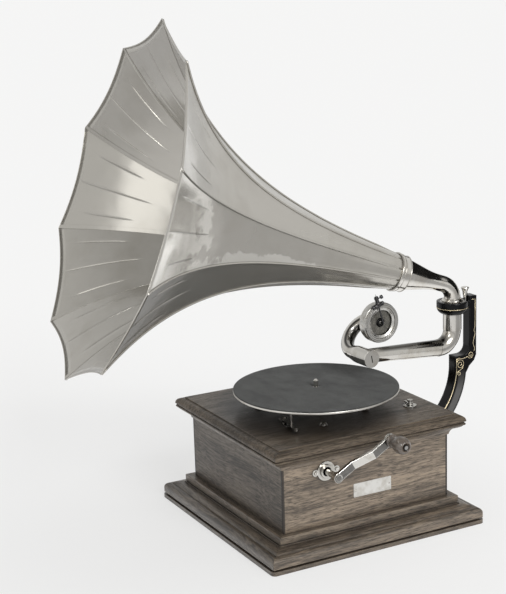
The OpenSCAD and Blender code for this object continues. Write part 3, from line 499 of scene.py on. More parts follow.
# %% The oak group
def oak_grain():
    tree, given, out = group("Oak grain", {"Board": (0, 0, 0), "Shift": 0.0}, ["Tone", "Height"])
    moved = vector_calc(tree, "ADD", given["Board"], given["Shift"])["Vector"]
    bands = cloud(tree, stretched(tree, moved, 0.10), 42.0, 3.0)
    sway = spread(tree, cloud(tree, moved, 7.0, 1.0), -0.012, 0.012)
    wander = vector_calc(tree, "ADD", stretched(tree, moved, 0.07), sway)["Vector"]
    streaks = cloud(tree, wander, 360.0, 4.0, 0.65)
    pores = ramp(tree, cloud(tree, stretched(tree, moved, 0.06), 1300.0, 2.0), (0.34, 1.0), (0.47, 0.0))
    tone = calc(tree, "ADD", product(tree, bands, 0.45), product(tree, streaks, 0.75))
    tone = calc(tree, "SUBTRACT", tone, product(tree, pores, 0.22))
    tree.links.new(ramp(tree, tone, (0.44, 0.0), (0.72, 1.0)), out["Tone"])
    tree.links.new(calc(tree, "SUBTRACT", streaks, product(tree, pores, 0.8)), out["Height"])


def board_coordinates(tree, along):
    where = surface_place(tree)
    if along == "x":
        return where
    axes = axes_of(tree, where)
    crosswise = add(tree, "CombineXYZ", inputs={0: axes["Y"], 1: axes["X"], 2: axes["Z"]}).outputs[0]
    if along == "y":
        return crosswise
    on_side = calc(tree, "GREATER_THAN", calc(tree, "ABSOLUTE", axes["X"]), calc(tree, "ABSOLUTE", axes["Y"]))
    return add(tree, "Mix", {"data_type": "VECTOR"}, {0: on_side, 4: where, 5: crosswise}).outputs[1]


oak_grain()
print("oak group:", [socket.name for socket in bpy.data.node_groups["Oak grain"].interface.items_tree])

# %% [markdown]
# Each board is a little different. Its whole tone is raised or lowered as painted light and shade, lighter
# on the crank side and darker on the front panel and the top. The mouldings carry a painted shade on their
# front side, the four panels have a dirty line where their mitres meet, and the top board carries a painted
# shadow under the turntable. Dirt and painted shade also take the wax's shine away.

# %% Oak boards
OAK_DARK, OAK_LIGHT = (0.040, 0.030, 0.021), (0.225, 0.176, 0.127)
OAK_WEAR_AND_HIGHLIGHT = (0.27, 0.215, 0.16)
OAK_DIRT_AND_SHADE = (0.016, 0.012, 0.009)
PLATTER_SHADOW_AT = (0.008, -0.022, 0.16)
PLATTER_SHADOW_SPREAD = ((0.112, 0.93), (0.168, 0.0))
CASE_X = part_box("right_panel")[1].x
MITRE_FROM, MITRE_FULL, MITRE_DARK = CASE_X - 4.0 * MM, CASE_X - 2.6 * MM, 0.95


def painted_front_shade(tree, shade):
    axes = axes_of(tree, surface_place(tree))
    forward = product(tree, axes["Y"], -1.0)
    on_front = calc(tree, "GREATER_THAN", forward, calc(tree, "ABSOLUTE", axes["X"]))
    return mixed(tree, on_front, (1, 1, 1), (shade, shade, shade))


# lift raises or lowers a board's whole tone, and front darkens a moulding's front side: both are painted light and
# shade.
def oak(name, along, shift, lift=1.0, wax=0.35, gloss=0.5, dirt_and_shade=0.85, wear_and_highlight=0.75, shadowed_by_platter=False, front=1.0):
    made, tree, shader = finish(name, Coat_Roughness=0.22, Coat_IOR=1.45, Specular_IOR_Level=gloss)
    grain = place_group(tree, "Oak grain", {"Board": board_coordinates(tree, along), "Shift": shift})
    dirt = dirt_and_shade_mask(tree, 0.011, dirt_and_shade)
    dark, light = (tuple(c * lift for c in shade) for shade in (OAK_DARK, OAK_LIGHT))
    colour = ramp(tree, grain["Tone"], (0.0, dark), (1.0, light))
    colour = mixed(tree, wear_and_highlight_mask(tree, 0.0016, wear_and_highlight), colour, OAK_WEAR_AND_HIGHLIGHT)
    # Painted shadow: the top board darkens under the turntable's platter.
    if shadowed_by_platter:
        platter_shadow = ramp(tree, away_from(tree, surface_place(tree), PLATTER_SHADOW_AT), *PLATTER_SHADOW_SPREAD)
        colour = mixed(tree, platter_shadow, colour, OAK_DIRT_AND_SHADE)
    elif along == "mitred":
        colour = mixed(tree, 1.0, colour, painted_front_shade(tree, front), "MULTIPLY")
    else:
        end = calc(tree, "ABSOLUTE", axes_of(tree, surface_place(tree))[along.upper()])
        dirt = calc(tree, "MAXIMUM", dirt, spread(tree, end, 0.0, MITRE_DARK, MITRE_FROM, MITRE_FULL))
    feed(tree, shader, Base_Color=mixed(tree, dirt, colour, OAK_DIRT_AND_SHADE),
         Roughness=spread(tree, grain["Tone"], 0.52, 0.36), Coat_Weight=spread(tree, dirt, wax, 0.0))
    bumped(tree, shader, grain["Height"], 0.25, 0.0006)
    return made


# Painted light and shade by board: the crank-side panel lighter, the front panel and the top darker, the mouldings
# darker in front.
OAK = {
    "base_board": oak("oak_base", "mitred", 0.3, front=0.7),
    "plinth_moulding": oak("oak_plinth", "mitred", 1.7, 1.1, dirt_and_shade=1.3, front=0.58),
    "bed_moulding": oak("oak_bed", "mitred", 2.9, dirt_and_shade=1.4, front=0.8),
    "cornice": oak("oak_cornice", "mitred", 4.1, dirt_and_shade=1.3, wear_and_highlight=1.6),
    "front_panel": oak("oak_front", "x", 5.3, 0.60, 0.15, 0.3),
    "rear_panel": oak("oak_rear", "x", 6.7),
    "left_panel": oak("oak_left", "y", 7.9),
    "right_panel": oak("oak_right", "y", 9.1, 1.38),
    "top_board": oak("oak_top", "y", 10.3, 0.75, 0.25, 0.15, 1.2, 1.4, shadowed_by_platter=True),
}
print("oak boards:", len(OAK))

# %% [markdown]
# ## Nickel and other metals
#
# Nickel plate is a mirror with smears and a yellowed patch here and there. One function makes all the
# metals: a clean colour, a tarnished one, and how smooth they are at best and at worst.

# %% Plated finishes
# The dark colour that the corner mask mixes into metal: dirt, and painted shade in corners and hollows.
GRIME_AND_SHADE = (0.05, 0.045, 0.04)


def plated(name, bright, tarnished, low, high, scale=30.0, dirt=0.5, reach=0.004, mark=None):
    made, tree, shader = finish(name, metallic=1.0)
    smears = place_group(tree, "Metal smears", {"Scale": scale, "Low": low, "High": high})
    colour = mixed(tree, smears["Tarnish"], bright, tarnished)
    if mark:
        colour = mark(tree, colour)
    colour = mixed(tree, dirt_and_shade_mask(tree, reach, dirt), colour, GRIME_AND_SHADE)
    feed(tree, shader, Base_Color=colour, Roughness=smears["Roughness"])
    bumped(tree, shader, smears["Height"], 0.05, 0.0002)
    return made


NICKEL = plated("worn_nickel", (0.66, 0.64, 0.60), (0.52, 0.48, 0.42), 0.05, 0.17)
DULL_NICKEL = plated("dull_nickel", (0.62, 0.60, 0.56), (0.46, 0.43, 0.37), 0.24, 0.42)
BOX_NICKEL = plated("greyed_nickel", (0.54, 0.53, 0.505), (0.38, 0.36, 0.32), 0.20, 0.38, 90.0)
# Painted shade: on the escutcheon the corner mask reaches far and darkens its hollow.
HANDLED_AND_SHADED_NICKEL = plated(
    "handled_and_shaded_nickel", (0.56, 0.545, 0.51), (0.40, 0.375, 0.33), 0.08, 0.24, 40.0, 1.0, 0.007)
BROWNED = plated("browned_nickel", (0.25, 0.24, 0.225), (0.13, 0.12, 0.105), 0.12, 0.30, 70.0, 0.9, 0.006)
STEEL = plated("oiled_steel", (0.46, 0.455, 0.45), (0.30, 0.28, 0.26), 0.22, 0.42, 60.0)
DARK_STEEL = plated("blued_steel", (0.10, 0.10, 0.105), (0.06, 0.055, 0.05), 0.2, 0.4, 60.0)
BRASS = plated("plain_brass", (0.66, 0.50, 0.24), (0.42, 0.30, 0.14), 0.2, 0.4, 50.0)
GOLD_LINE_AND_HIGHLIGHT = plated("gold_lining_and_highlight", (0.95, 0.82, 0.56), (0.80, 0.66, 0.40), 0.3, 0.5, 90.0, 0.1)
PLATE = plated("pale_plate", (0.66, 0.65, 0.625), (0.52, 0.50, 0.46), 0.40, 0.6, 60.0, 0.3)
print("metals:", len(bpy.data.materials), "materials so far")

# %% [markdown]
# Four pieces carry a mark of their own: a painted dark reflection lies along the top of the tone arm,
# painted dark reflection streaks cross the gooseneck's bend, the crank's flats carry a painted dark
# reflection between rubbed edges with a painted highlight, and the rivet of the knob sits in a ring of
# painted shade. Each mark is a small function that takes the colour and gives it back changed. The places
# come from the imported joints.

# %% Marked metals
JOINT_AT = {joint["name"]: Vector(joint["pos_m"]) for joint in frame["joints"]}
JOINT_AXIS = {joint["name"]: Vector(joint["axis"]).normalized() for joint in frame["joints"]}
disc_low, disc_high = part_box("diaphragm")
BOX_AT = (disc_low + disc_high) / 2
BOX_AXIS = JOINT_AXIS["gooseneck_flip"]
DISC_BACK, BEND_OUT = 9.7 * MM, 30.0 * MM
BEND_AT = (JOINT_AT["gooseneck_flip"] + BOX_AT + BOX_AXIS * DISC_BACK) / 2 - BOX_AXIS * BEND_OUT
TOP_PAINTED_DARK = (0.06, 0.056, 0.05)
TOP_DARK_BY_SLOPE, TOP_DARK_BY_Y = ((0.50, 0.0), (0.80, 0.85)), ((0.098, 0.0), (0.115, 1.0))
BEND_PAINTED_DARK = (0.030, 0.028, 0.026)
STREAKS_FROM, STREAKS_TO = 19.5 * MM, 31.5 * MM
STREAK_BANDS = ((0.15, 0.92), (0.32, 0.1), (0.50, 0.1), (0.66, 0.92), (0.84, 0.80), (1.0, 0.0))
FLAT_PAINTED_DARK, EDGE_PAINTED_HIGHLIGHT = (0.085, 0.082, 0.078), (0.80, 0.78, 0.74)
RING_PAINTED_SHADE = (0.02, 0.019, 0.018)
RING_FROM, RING_FULL = 2.4 * MM, 3.2 * MM


# Painted dark reflection: upward faces towards the back of the tone arm go dark.
def painted_dark_top(tree, colour):
    facing_up = ramp(tree, facing(tree, "Z"), *TOP_DARK_BY_SLOPE)
    behind = ramp(tree, axes_of(tree, surface_place(tree))["Y"], *TOP_DARK_BY_Y)
    return mixed(tree, product(tree, facing_up, behind), colour, TOP_PAINTED_DARK)


# Painted dark reflection: dark and light bands round the middle of the gooseneck's bend.
def painted_bend_streaks(tree, colour):
    from_middle = away_from(tree, surface_place(tree), BEND_AT)
    across = spread(tree, from_middle, 0.0, 1.0, STREAKS_FROM, STREAKS_TO)
    return mixed(tree, ramp(tree, across, *STREAK_BANDS), colour, BEND_PAINTED_DARK)


# Painted dark reflection on the flats that face along X, and a painted highlight on the rubbed edges.
def painted_dark_flats(tree, colour):
    flat = ramp(tree, facing(tree, "X"), (0.955, 0.0), (0.985, 1.0))
    uneven_shade = spread(tree, cloud(tree, surface_place(tree), 55.0), 0.62, 1.08)
    colour = mixed(tree, calc(tree, "MULTIPLY", flat, uneven_shade, clamp=True), colour, FLAT_PAINTED_DARK)
    return mixed(tree, wear_and_highlight_mask(tree, 0.0024, 1.6), colour, EDGE_PAINTED_HIGHLIGHT)


# Painted shade: the rim of the rivet goes dark, as the recess round it would.
def painted_rim_shade(tree, colour):
    from_rivet = away_from(tree, seen_sideways(tree), JOINT_AT["knob_spin"] * Vector((0, 1, 1)))
    return mixed(tree, spread(tree, from_rivet, 0.0, 0.95, RING_FROM, RING_FULL), colour, RING_PAINTED_SHADE)


ARM_NICKEL = plated(
    "dark_top_nickel", (0.58, 0.562, 0.527), (0.44, 0.41, 0.36), 0.05, 0.17, mark=painted_dark_top)
BEND_NICKEL = plated(
    "bend_nickel", (0.62, 0.60, 0.565), (0.44, 0.41, 0.36), 0.04, 0.14, reach=0.005, mark=painted_bend_streaks)
CRANK_NICKEL = plated(
    "crank_nickel", (0.60, 0.585, 0.55), (0.44, 0.415, 0.37), 0.08, 0.24, 40.0, 1.0, 0.007, painted_dark_flats)
PIN_STEEL = plated("pin_steel", (0.40, 0.39, 0.375), (0.28, 0.265, 0.24), 0.2, 0.4, 60.0, mark=painted_rim_shade)
print("bend of the gooseneck round", tuple(round(c, 3) for c in BEND_AT))

# %% [markdown]
# ## Black japan
#
# Japan is thick black varnish, stoved on iron. It is nearly black and very smooth, so it shows by what it
# mirrors and by its rubbed edges. A grey patch low on the side faces of the bracket's leg is a painted
# sheen, standing in for the reflection there. The shading normals are rounded over, because the varnish
# flowed round the edges of the casting.

# %% The japan
JAPAN_BLACK, JAPAN_WORN, JAPAN_PAINTED_SHEEN = (0.003, 0.003, 0.0034), (0.10, 0.095, 0.09), (0.115, 0.113, 0.11)
LEG_Y, LEG_Z = 150.3, 190.0
SHEEN_FROM, SHEEN_TO = 110.0 * MM, 125.0 * MM
SHEEN_ACROSS = ((0.03, 0.0), (0.20, 1.0), (0.80, 1.0), (0.97, 0.0))
SHEEN_BY_Z = ((0.150, 1.0), (0.186, 0.0))


def japan_black():
    made, tree, shader = finish("japan_black", Specular_IOR_Level=0.16)
    where = surface_place(tree)
    colour = mixed(tree, wear_and_highlight_mask(tree, 0.0012, 0.35), JAPAN_BLACK, JAPAN_WORN)
    # Painted sheen: a grey patch low on the side faces of the leg stands in for a reflection.
    from_middle = away_from(tree, seen_sideways(tree), (0, LEG_Y * MM, LEG_Z * MM))
    across = ramp(tree, spread(tree, from_middle, 0.0, 1.0, SHEEN_FROM, SHEEN_TO), *SHEEN_ACROSS)
    low = ramp(tree, axes_of(tree, where)["Z"], *SHEEN_BY_Z)
    on_side = calc(tree, "GREATER_THAN", calc(tree, "ABSOLUTE", facing(tree, "X")), 0.7)
    feed(tree, shader, Base_Color=mixed(tree, product(tree, across, low, on_side), colour, JAPAN_PAINTED_SHEEN),
         Roughness=spread(tree, cloud(tree, where, 45.0), 0.06, 0.16))
    bumped(tree, shader, cloud(tree, where, 240.0, 1.0), 0.12, 0.0004, round_by=0.004)
    return made


JAPAN = japan_black()
print("japan: leg curved round y", LEG_Y, "z", LEG_Z, "mm")

# %% [markdown]
# ## The horn's sheet
#
# The horn is a softer metal than the nickel, satin where it has been handled, under a thin lacquer that is
# the shader's coat. One petal carries a painted reflection, pale cloudy patches: an attribute on the sheet
# says where, and noise breaks it into wisps.

# %% Horn sheet
HORN_BRIGHT, HORN_TARNISHED = (0.490, 0.470, 0.430), (0.420, 0.398, 0.355)
HORN_PAINTED_REFLECTION, HORN_GRIME_AND_SHADE = (0.665, 0.645, 0.597), (0.16, 0.15, 0.13)


def horn_sheet():
    made, tree, shader = finish("horn_sheet", metallic=0.72, Coat_Weight=0.3, Coat_Roughness=0.06)
    where = surface_place(tree)
    smears = place_group(tree, "Metal smears", {"Scale": 9.0, "Low": 0.15, "High": 0.26})
    colour = mixed(tree, smears["Tarnish"], HORN_BRIGHT, HORN_TARNISHED)
    # Painted reflection: pale patches on one petal, placed by the attribute and broken by noise.
    reflection_share = add(tree, "Attribute", {"attribute_name": "painted_reflection"}).outputs["Fac"]
    wisps = cloud(tree, where, 24.0, 5.0, 0.62)
    reflection_patches = ramp(tree, calc(tree, "ADD", wisps, reflection_share), (0.94, 0.0), (1.0, 1.0))
    colour = mixed(tree, reflection_patches, colour, HORN_PAINTED_REFLECTION)
    # Corner mask: dirt, and painted shade along the seams and hollows.
    colour = mixed(tree, dirt_and_shade_mask(tree, 0.010, 0.55), colour, HORN_GRIME_AND_SHADE)
    feed(tree, shader, Base_Color=colour, Roughness=smears["Roughness"])
    grit = product(tree, cloud(tree, where, 420.0, 2.0), 0.002)
    bumped(tree, shader, calc(tree, "ADD", cloud(tree, where, 13.0, 2.0), grit), 0.30, 0.006)
    return made


HORN = horn_sheet()
print("horn sheet:", len(HORN.node_tree.nodes), "nodes")

# %% [markdown]
# ## Felt, mica, wood and the rest
#
# Felt is a cloud of fibres, so its colour and its height come from fine noise, and broad noise wears it in
# patches. Mica is a clear mineral in flakes, half see-through.

# %% Felt and mica
FELT_DARK, FELT_LIGHT = (0.016, 0.017, 0.016), (0.050, 0.053, 0.050)
MICA_DARK, MICA_LIGHT = (0.145, 0.137, 0.117), (0.27, 0.256, 0.22)


def felt_cloth():
    made, tree, shader = finish("turntable_felt", roughness=0.95, Sheen_Weight=0.12, Sheen_Roughness=0.6)
    where = surface_place(tree)
    fibres = cloud(tree, where, 1500.0, 3.0, 0.7)
    worn = cloud(tree, where, 26.0, 4.0, 0.55)
    brushed = cloud(tree, stretched(tree, where, 0.35), 60.0, 4.0, 0.6)
    uneven_wear = calc(tree, "ADD", product(tree, worn, 0.6), product(tree, brushed, 0.4))
    colour = mixed(tree, ramp(tree, fibres, (0.35, 0.0), (0.7, 1.0)), FELT_DARK, FELT_LIGHT)
    patchy = ramp(tree, uneven_wear, (0.38, 0.45), (0.62, 1.60))
    feed(tree, shader, Base_Color=mixed(tree, 1.0, colour, patchy, "MULTIPLY"))
    bumped(tree, shader, fibres, 0.5, 0.0008)
    return made


def clear_mica():
    made, tree, shader = finish("clear_mica", Transmission_Weight=0.55, IOR=1.56)
    flakes = cloud(tree, surface_place(tree), 140.0, 3.0)
    feed(tree, shader, Base_Color=ramp(tree, flakes, (0.3, MICA_DARK), (0.7, MICA_LIGHT)),
         Roughness=spread(tree, flakes, 0.12, 0.3))
    bumped(tree, shader, flakes, 0.1, 0.0002)
    return made


FELT = felt_cloth()
MICA = clear_mica()
print("soft and clear:", FELT.name, MICA.name)

# %% [markdown]
# The knob's wood is grained along its axis under a coat of polish. Pine, fibre, rubber and leather are
# hidden or small, and one plain grained finish serves them all.

# %% Wood and small finishes
def turned_wood(name, dark, light, shine):
    made, tree, shader = finish(name, Coat_Roughness=0.12)
    grain = cloud(tree, stretched(tree, surface_place(tree), 0.15), 420.0, 4.0, 0.6)
    colour = ramp(tree, grain, (0.3, dark), (0.75, light))
    colour = mixed(tree, wear_and_highlight_mask(tree, 0.001, 0.5), colour, tuple(c * 2.2 for c in light))
    feed(tree, shader, Base_Color=colour, Roughness=spread(tree, grain, 0.42, 0.3),
         Coat_Weight=spread(tree, grain, shine, shine * 0.7))
    bumped(tree, shader, grain, 0.2, 0.0003)
    return made


def plain_grained(name, dark, light, roughness, scale, bump=0.2):
    made, tree, shader = finish(name)
    specks = cloud(tree, surface_place(tree), scale, 4.0, 0.6)
    colour = ramp(tree, specks, (0.3, dark), (0.72, light))
    colour = mixed(tree, dirt_and_shade_mask(tree, 0.006, 0.5), colour, tuple(c * 0.3 for c in dark))
    feed(tree, shader, Base_Color=colour, Roughness=spread(tree, specks, roughness - 0.08, roughness + 0.08))
    bumped(tree, shader, specks, bump, 0.0004)
    return made


KNOB_WOOD = turned_wood("knob_wood", (0.058, 0.045, 0.035), (0.175, 0.137, 0.107), 0.8)
PINE = plain_grained("bare_pine", (0.42, 0.31, 0.19), (0.62, 0.48, 0.32), 0.75, 90.0)
FIBRE = plain_grained("pressed_fibre", (0.20, 0.12, 0.07), (0.34, 0.22, 0.13), 0.6, 500.0)
RUBBER = plain_grained("old_rubber", (0.10, 0.075, 0.065), (0.17, 0.13, 0.11), 0.75, 300.0)
LEATHER = plain_grained("brake_leather", (0.16, 0.095, 0.05), (0.29, 0.18, 0.10), 0.65, 700.0, 0.5)
print("finishes:", len(bpy.data.materials))

# %% [markdown]
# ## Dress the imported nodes
#
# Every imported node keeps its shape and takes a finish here, by its own name or else by its material slot.

# %% Assign finishes
DRESS = {
    "nickel": NICKEL, "steel": STEEL, "brass": BRASS, "fibre": FIBRE, "rubber": RUBBER, "felt": FELT,
    "japan": JAPAN, "leather": LEATHER, "ebonised": KNOB_WOOD, "mica": MICA, "horn_metal": HORN, "pine": PINE,
}
NODES_BY_LOOK = (
    (ARM_NICKEL, "tone_arm"),
    (BEND_NICKEL, "gooseneck"),
    (DULL_NICKEL, "bearing_cap turntable box_back"),
    (BOX_NICKEL, "box_case speed_dial speed_lever"),
    (HANDLED_AND_SHADED_NICKEL, "escutcheon"),
    (CRANK_NICKEL, "crank_arm crank_shaft"),
    (PIN_STEEL, "crank_pin"),
    (BROWNED, "motor_bolts brake_base brake_lever"),
    (DARK_STEEL, "stylus_bar needle_screw"),
)
SPECIAL = {name: look for look, names in NODES_BY_LOOK for name in names.split()}
for part in frame["record"]["subparts"]:
    node_name, slot = part["node"], part["material_slot"]
    look = OAK.get(node_name) or SPECIAL.get(node_name) or DRESS[slot]
    nodes[node_name].data.materials.clear()
    nodes[node_name].data.materials.append(look)

# %% [markdown]
# A real edge is never knife sharp, and the thin bright line along an edge is much of what makes wood and
# metal look real. A weld, a narrow bevel and weighted normals give it, as modifiers that leave the packed
# mesh as it is. The table says how wide, in millimetres.

# %% Soften edges
NODES_BY_EDGE_MM = (
    (0.3, "speed_dial speed_lever brake_base needle_screw"),
    (0.4, "brake_lever thumb_screw motor_bolts"),
    (0.5, "bed_moulding escutcheon bearing_cap pivot_cap bracket_bolts"),
    (0.6, "plinth_moulding box_case box_back crank_pin horn_ferrule"),
    (0.7, "cornice top_board"),
    (0.8, "front_panel rear_panel left_panel right_panel crank_arm"),
    (0.9, "turntable"),
    (1.2, "base_board"),
    (1.6, "bracket"),
)
EDGE_MM = {name: width for width, names in NODES_BY_EDGE_MM for name in names.split()}
WELD_WITHIN = 0.02 * MM
SHARP_FROM = math.radians(40)


def soften(node, width_mm):
    weld = node.modifiers.new("weld", "WELD")
    weld.merge_threshold = WELD_WITHIN
    bevel = node.modifiers.new("bevel", "BEVEL")
    bevel.width = width_mm * MM
    bevel.segments = 2
    bevel.limit_method = "ANGLE"
    bevel.angle_limit = SHARP_FROM
    normals = node.modifiers.new("normals", "WEIGHTED_NORMAL")
    normals.keep_sharp = True


for node_name, width in EDGE_MM.items():
    soften(nodes[node_name], width)
print("softened the edges of", len(EDGE_MM), "nodes")

# %% [markdown]
# ## Helpers that make pieces
#
# A piece is a mesh built from points and faces. `piece` names it, gives it a finish, and lets it ride on a
# body so that it moves with the machine. Most shapes here are a grid of points, so `grid_faces` and
# `end_faces` make the faces, and `joined` makes one mesh of several.

# %% Mesh helpers
def piece(name, points, faces, look, body, slot, smooth=True):
    mesh = bpy.data.meshes.new(name)
    mesh.from_pydata([tuple(p) for p in points], [], faces)
    mesh.update()
    builder = bmesh.new()
    builder.from_mesh(mesh)
    bmesh.ops.recalc_face_normals(builder, faces=builder.faces)
    builder.to_mesh(mesh)
    builder.free()
    mesh.materials.append(look)
    mesh.polygons.foreach_set("use_smooth", [smooth] * len(mesh.polygons))
    made = bpy.data.objects.new(name, mesh)
    scene.collection.objects.link(made)
    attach(made, body)
    return made


def grid_faces(rows, columns, first=0, wrap=False):
    faces = []
    for i in range(rows - 1):
        for j in range(columns if wrap else columns - 1):
            a, b = first + i * columns + j, first + i * columns + (j + 1) % columns
            faces.append((a, b, b + columns, a + columns))
    return faces


def end_faces(rows, columns):
    return [tuple(range(columns)), tuple(range((rows - 1) * columns, rows * columns))]


def joined(parts):
    points, faces = [], []
    for more_points, more_faces in parts:
        first = len(points)
        points += more_points
        faces += [tuple(v + first for v in face) for face in more_faces]
    return points, faces


print("mesh helpers ready")

# %% [markdown]
# Two tools make nearly all of it. `turned` spins an outline round an axis as a lathe does. `wire_mesh`
# pulls a round bead along a path, and turns its cross-section smoothly from point to point, so that it
# never twists.

# %% Lathe and wire
def circle(sides):
    return [math.tau * k / sides for k in range(sides)]


def in_metres(outline):
    return [(radius * MM, along * MM) for radius, along in outline]


def directions_round(axis):
    axis = Vector(axis).normalized()
    side = axis.orthogonal().normalized()
    return axis, side, axis.cross(side)


def turned(name, outline, centre, axis, look, body, slot, sides=64):
    axis, side, other = directions_round(axis)
    points = [Vector(centre) + axis * along + (side * math.cos(a) + other * math.sin(a)) * radius
              for radius, along in outline for a in circle(sides)]
    faces = grid_faces(len(outline), sides, wrap=True)
    closed_outline = outline[0] == outline[-1]
    if not closed_outline:
        faces += end_faces(len(outline), sides)
    return piece(name, points, faces, look, body, slot)


def wire_mesh(path, radius, sides=8, closed=False):
    path = [Vector(p) for p in path]
    count = len(path)
    points, normal = [], None
    for i, at in enumerate(path):
        before = path[i - 1] if i or closed else path[0]
        after = path[(i + 1) % count] if i < count - 1 or closed else path[-1]
        tangent = (after - before).normalized()
        normal = tangent.orthogonal() if normal is None else normal - tangent * normal.dot(tangent)
        normal.normalize()
        binormal = tangent.cross(normal)
        reach = radius(i / (count - 1)) if callable(radius) else radius
        points += [at + (normal * math.cos(a) + binormal * math.sin(a)) * reach for a in circle(sides)]
    faces = grid_faces(count, sides, wrap=True)
    if closed:
        last = (count - 1) * sides
        faces += [(last + k, last + (k + 1) % sides, (k + 1) % sides, k) for k in range(sides)]
    else:
        faces += end_faces(count, sides)
    return points, faces


print("lathe and wire ready")

# %% [markdown]
# ## The horn
#
# The horn is ten petals of thin sheet, folded together along raised seams, with the edge rolled over a
# wire. It swells from the neck to the bell, and it leans up and a little aside from its bearing. Two
# matrices carry points to their place on the machine: `swivel_frame` from the upright axis it turns on, and
# `horn_frame` from the neck, with Z along the horn's own axis.

# %% The horn's measures
PETALS = 10
HALF_PETAL = math.pi / PETALS
BELL_R, NECK_R, HORN_LEN = 267.5 * MM, 26.0 * MM, 482.0 * MM
SWIVEL_Y = 254.5 * MM
HORN_YAW, HORN_RISE = math.radians(-8.2), math.radians(18.6)
ELBOW_Z, ELBOW_BEND, ELBOW_LEN = 303.0 * MM, 26.0 * MM, 74.0 * MM
BELL_CURVE = 0.05

swivel_frame = Matrix.Translation((0, SWIVEL_Y, 0)) @ Matrix.Rotation(HORN_YAW, 4, "Z")
turn = math.pi / 2 - HORN_RISE
horn_frame = (
    swivel_frame
    @ Matrix.Translation((0, -ELBOW_BEND * (1 - math.cos(turn)), ELBOW_Z + ELBOW_BEND * math.sin(turn)))
    @ Matrix.Rotation(turn, 4, "X") @ Matrix.Translation((0, 0, ELBOW_LEN))
)


def horn_radius(t):
    return NECK_R * (BELL_R / NECK_R) ** (t - BELL_CURVE * math.sin(math.pi * t))


print("horn: radius", round(NECK_R, 3), "to", round(horn_radius(1.0), 4), "m")

# %% [markdown]
# Near the neck the horn is round, and towards the bell each petal flattens and ends in a shallow hollow
# between two tips. Three lines are pressed into every petal, a long one in the middle and a short one on
# each side, and on two petals they show less on the outside. The sheet is also a little uneven, as beaten
# sheet is, which breaks up its reflections. All of it follows one function of three numbers: how far along
# the horn, where across the petal, and how far off the sheet.

# %% The horn's surface
SCALLOP = 5.5 * MM
FLAT_FROM, FLAT_FULL = 0.1, 0.6
SLOPE_STEP = 0.002
CREASE_U = 0.66
CREASE_DEPTH = 0.9 * MM
CREASE_WIDTH = 0.014
CREASES = ((0.0, 0.81, 0.985), (-CREASE_U, 0.84, 0.95), (CREASE_U, 0.84, 0.95))
OUTSIDE_DEPTH = {7: 0.6, 8: 0.35}
DENT = 0.45 * MM


def fade(value, low, high):
    x = min(1.0, max(0.0, (value - low) / (high - low)))
    return x * x * (3 - 2 * x)


def pressed_line(petal, t, u, off):
    depth = 0.0
    for place, inner, outer in CREASES:
        across = math.exp(-((u - place) / CREASE_WIDTH) ** 2)
        depth += across * fade(t, inner - 0.008, inner + 0.012) * (1 - fade(t, outer - 0.012, outer + 0.008))
    return depth * CREASE_DEPTH * (OUTSIDE_DEPTH.get(petal, 1.0) if off > 0 else 1.0)


def uneven(petal, t, u):
    at = Vector((t * 7.5, u * 1.6 + petal * 5.3, petal * 2.1))
    calm = (1 - u ** 4) * fade(t, 0.1, 0.3) * (1 - fade(t, 0.93, 1.0))
    return DENT * calm * (noise.noise(at) + 0.5 * noise.noise(at * 2.3))


def horn_point(petal, t, u, off=0.0, past=0.0):
    w = t * (1 - SCALLOP / HORN_LEN * (1 - u * u))
    a = HALF_PETAL * u
    slope = (horn_radius(w + SLOPE_STEP) - horn_radius(w - SLOPE_STEP)) / (2 * SLOPE_STEP * HORN_LEN)
    lean = math.sqrt(1 + slope * slope)
    flat = min(1.0, max(0.0, (w - FLAT_FROM) / (FLAT_FULL - FLAT_FROM)))
    radius = horn_radius(w) * (1 - flat + flat * math.cos(HALF_PETAL) / math.cos(a))
    off = off + pressed_line(petal, t, u, off) + uneven(petal, t, u)
    radius += off / lean + past * slope / lean
    angle = math.pi / 2 + HALF_PETAL * (2 * petal + 1) + a
    height = w * HORN_LEN - off * slope / lean + past / lean
    return horn_frame @ Vector((radius * math.cos(angle), radius * math.sin(angle), height))


mouth = [horn_point(k, 1, -1) for k in range(PETALS)]
print("horn mouth from", round(min(p.z for p in mouth), 3), "to", round(max(p.z for p in mouth), 3), "m high")

# %% [markdown]
# Each petal is a fine grid with more columns where the pressed lines run. The inner and the outer skin are
# the same grid, one sheet thickness apart, closed round the edge, so the horn is a real sheet and not a
# paper surface. One petal gets an attribute on its outer skin that says how much painted reflection it
# carries: most near the mouth and along its lower edge.

# %% The petals
SHEET_T = 0.8 * MM
SEAM_GAP = 0.06 * MM
ROWS = 60
NEAR_CREASE = (0.0, 0.005, 0.010, 0.015, 0.021, 0.032)
BETWEEN = (1.0, 0.975, 0.93, 0.86, 0.78, 0.55, 0.45, 0.35, 0.25, 0.16, 0.09)
crease_columns = {
    round(place + sign * step, 4) for place, _, _ in CREASES for sign in (-1, 1) for step in NEAR_CREASE}
COLUMNS = sorted({0.0} | crease_columns | {sign * u for sign in (-1, 1) for u in BETWEEN})
ROW_T = [(i / ROWS) ** 0.78 for i in range(ROWS + 1)]
REFLECTING_PETAL = 7
REFLECTION_MOST = 0.62


def seam_column(t, u):
    room = 1 - SEAM_GAP / (horn_radius(t) * HALF_PETAL)
    return max(-room, min(room, u))


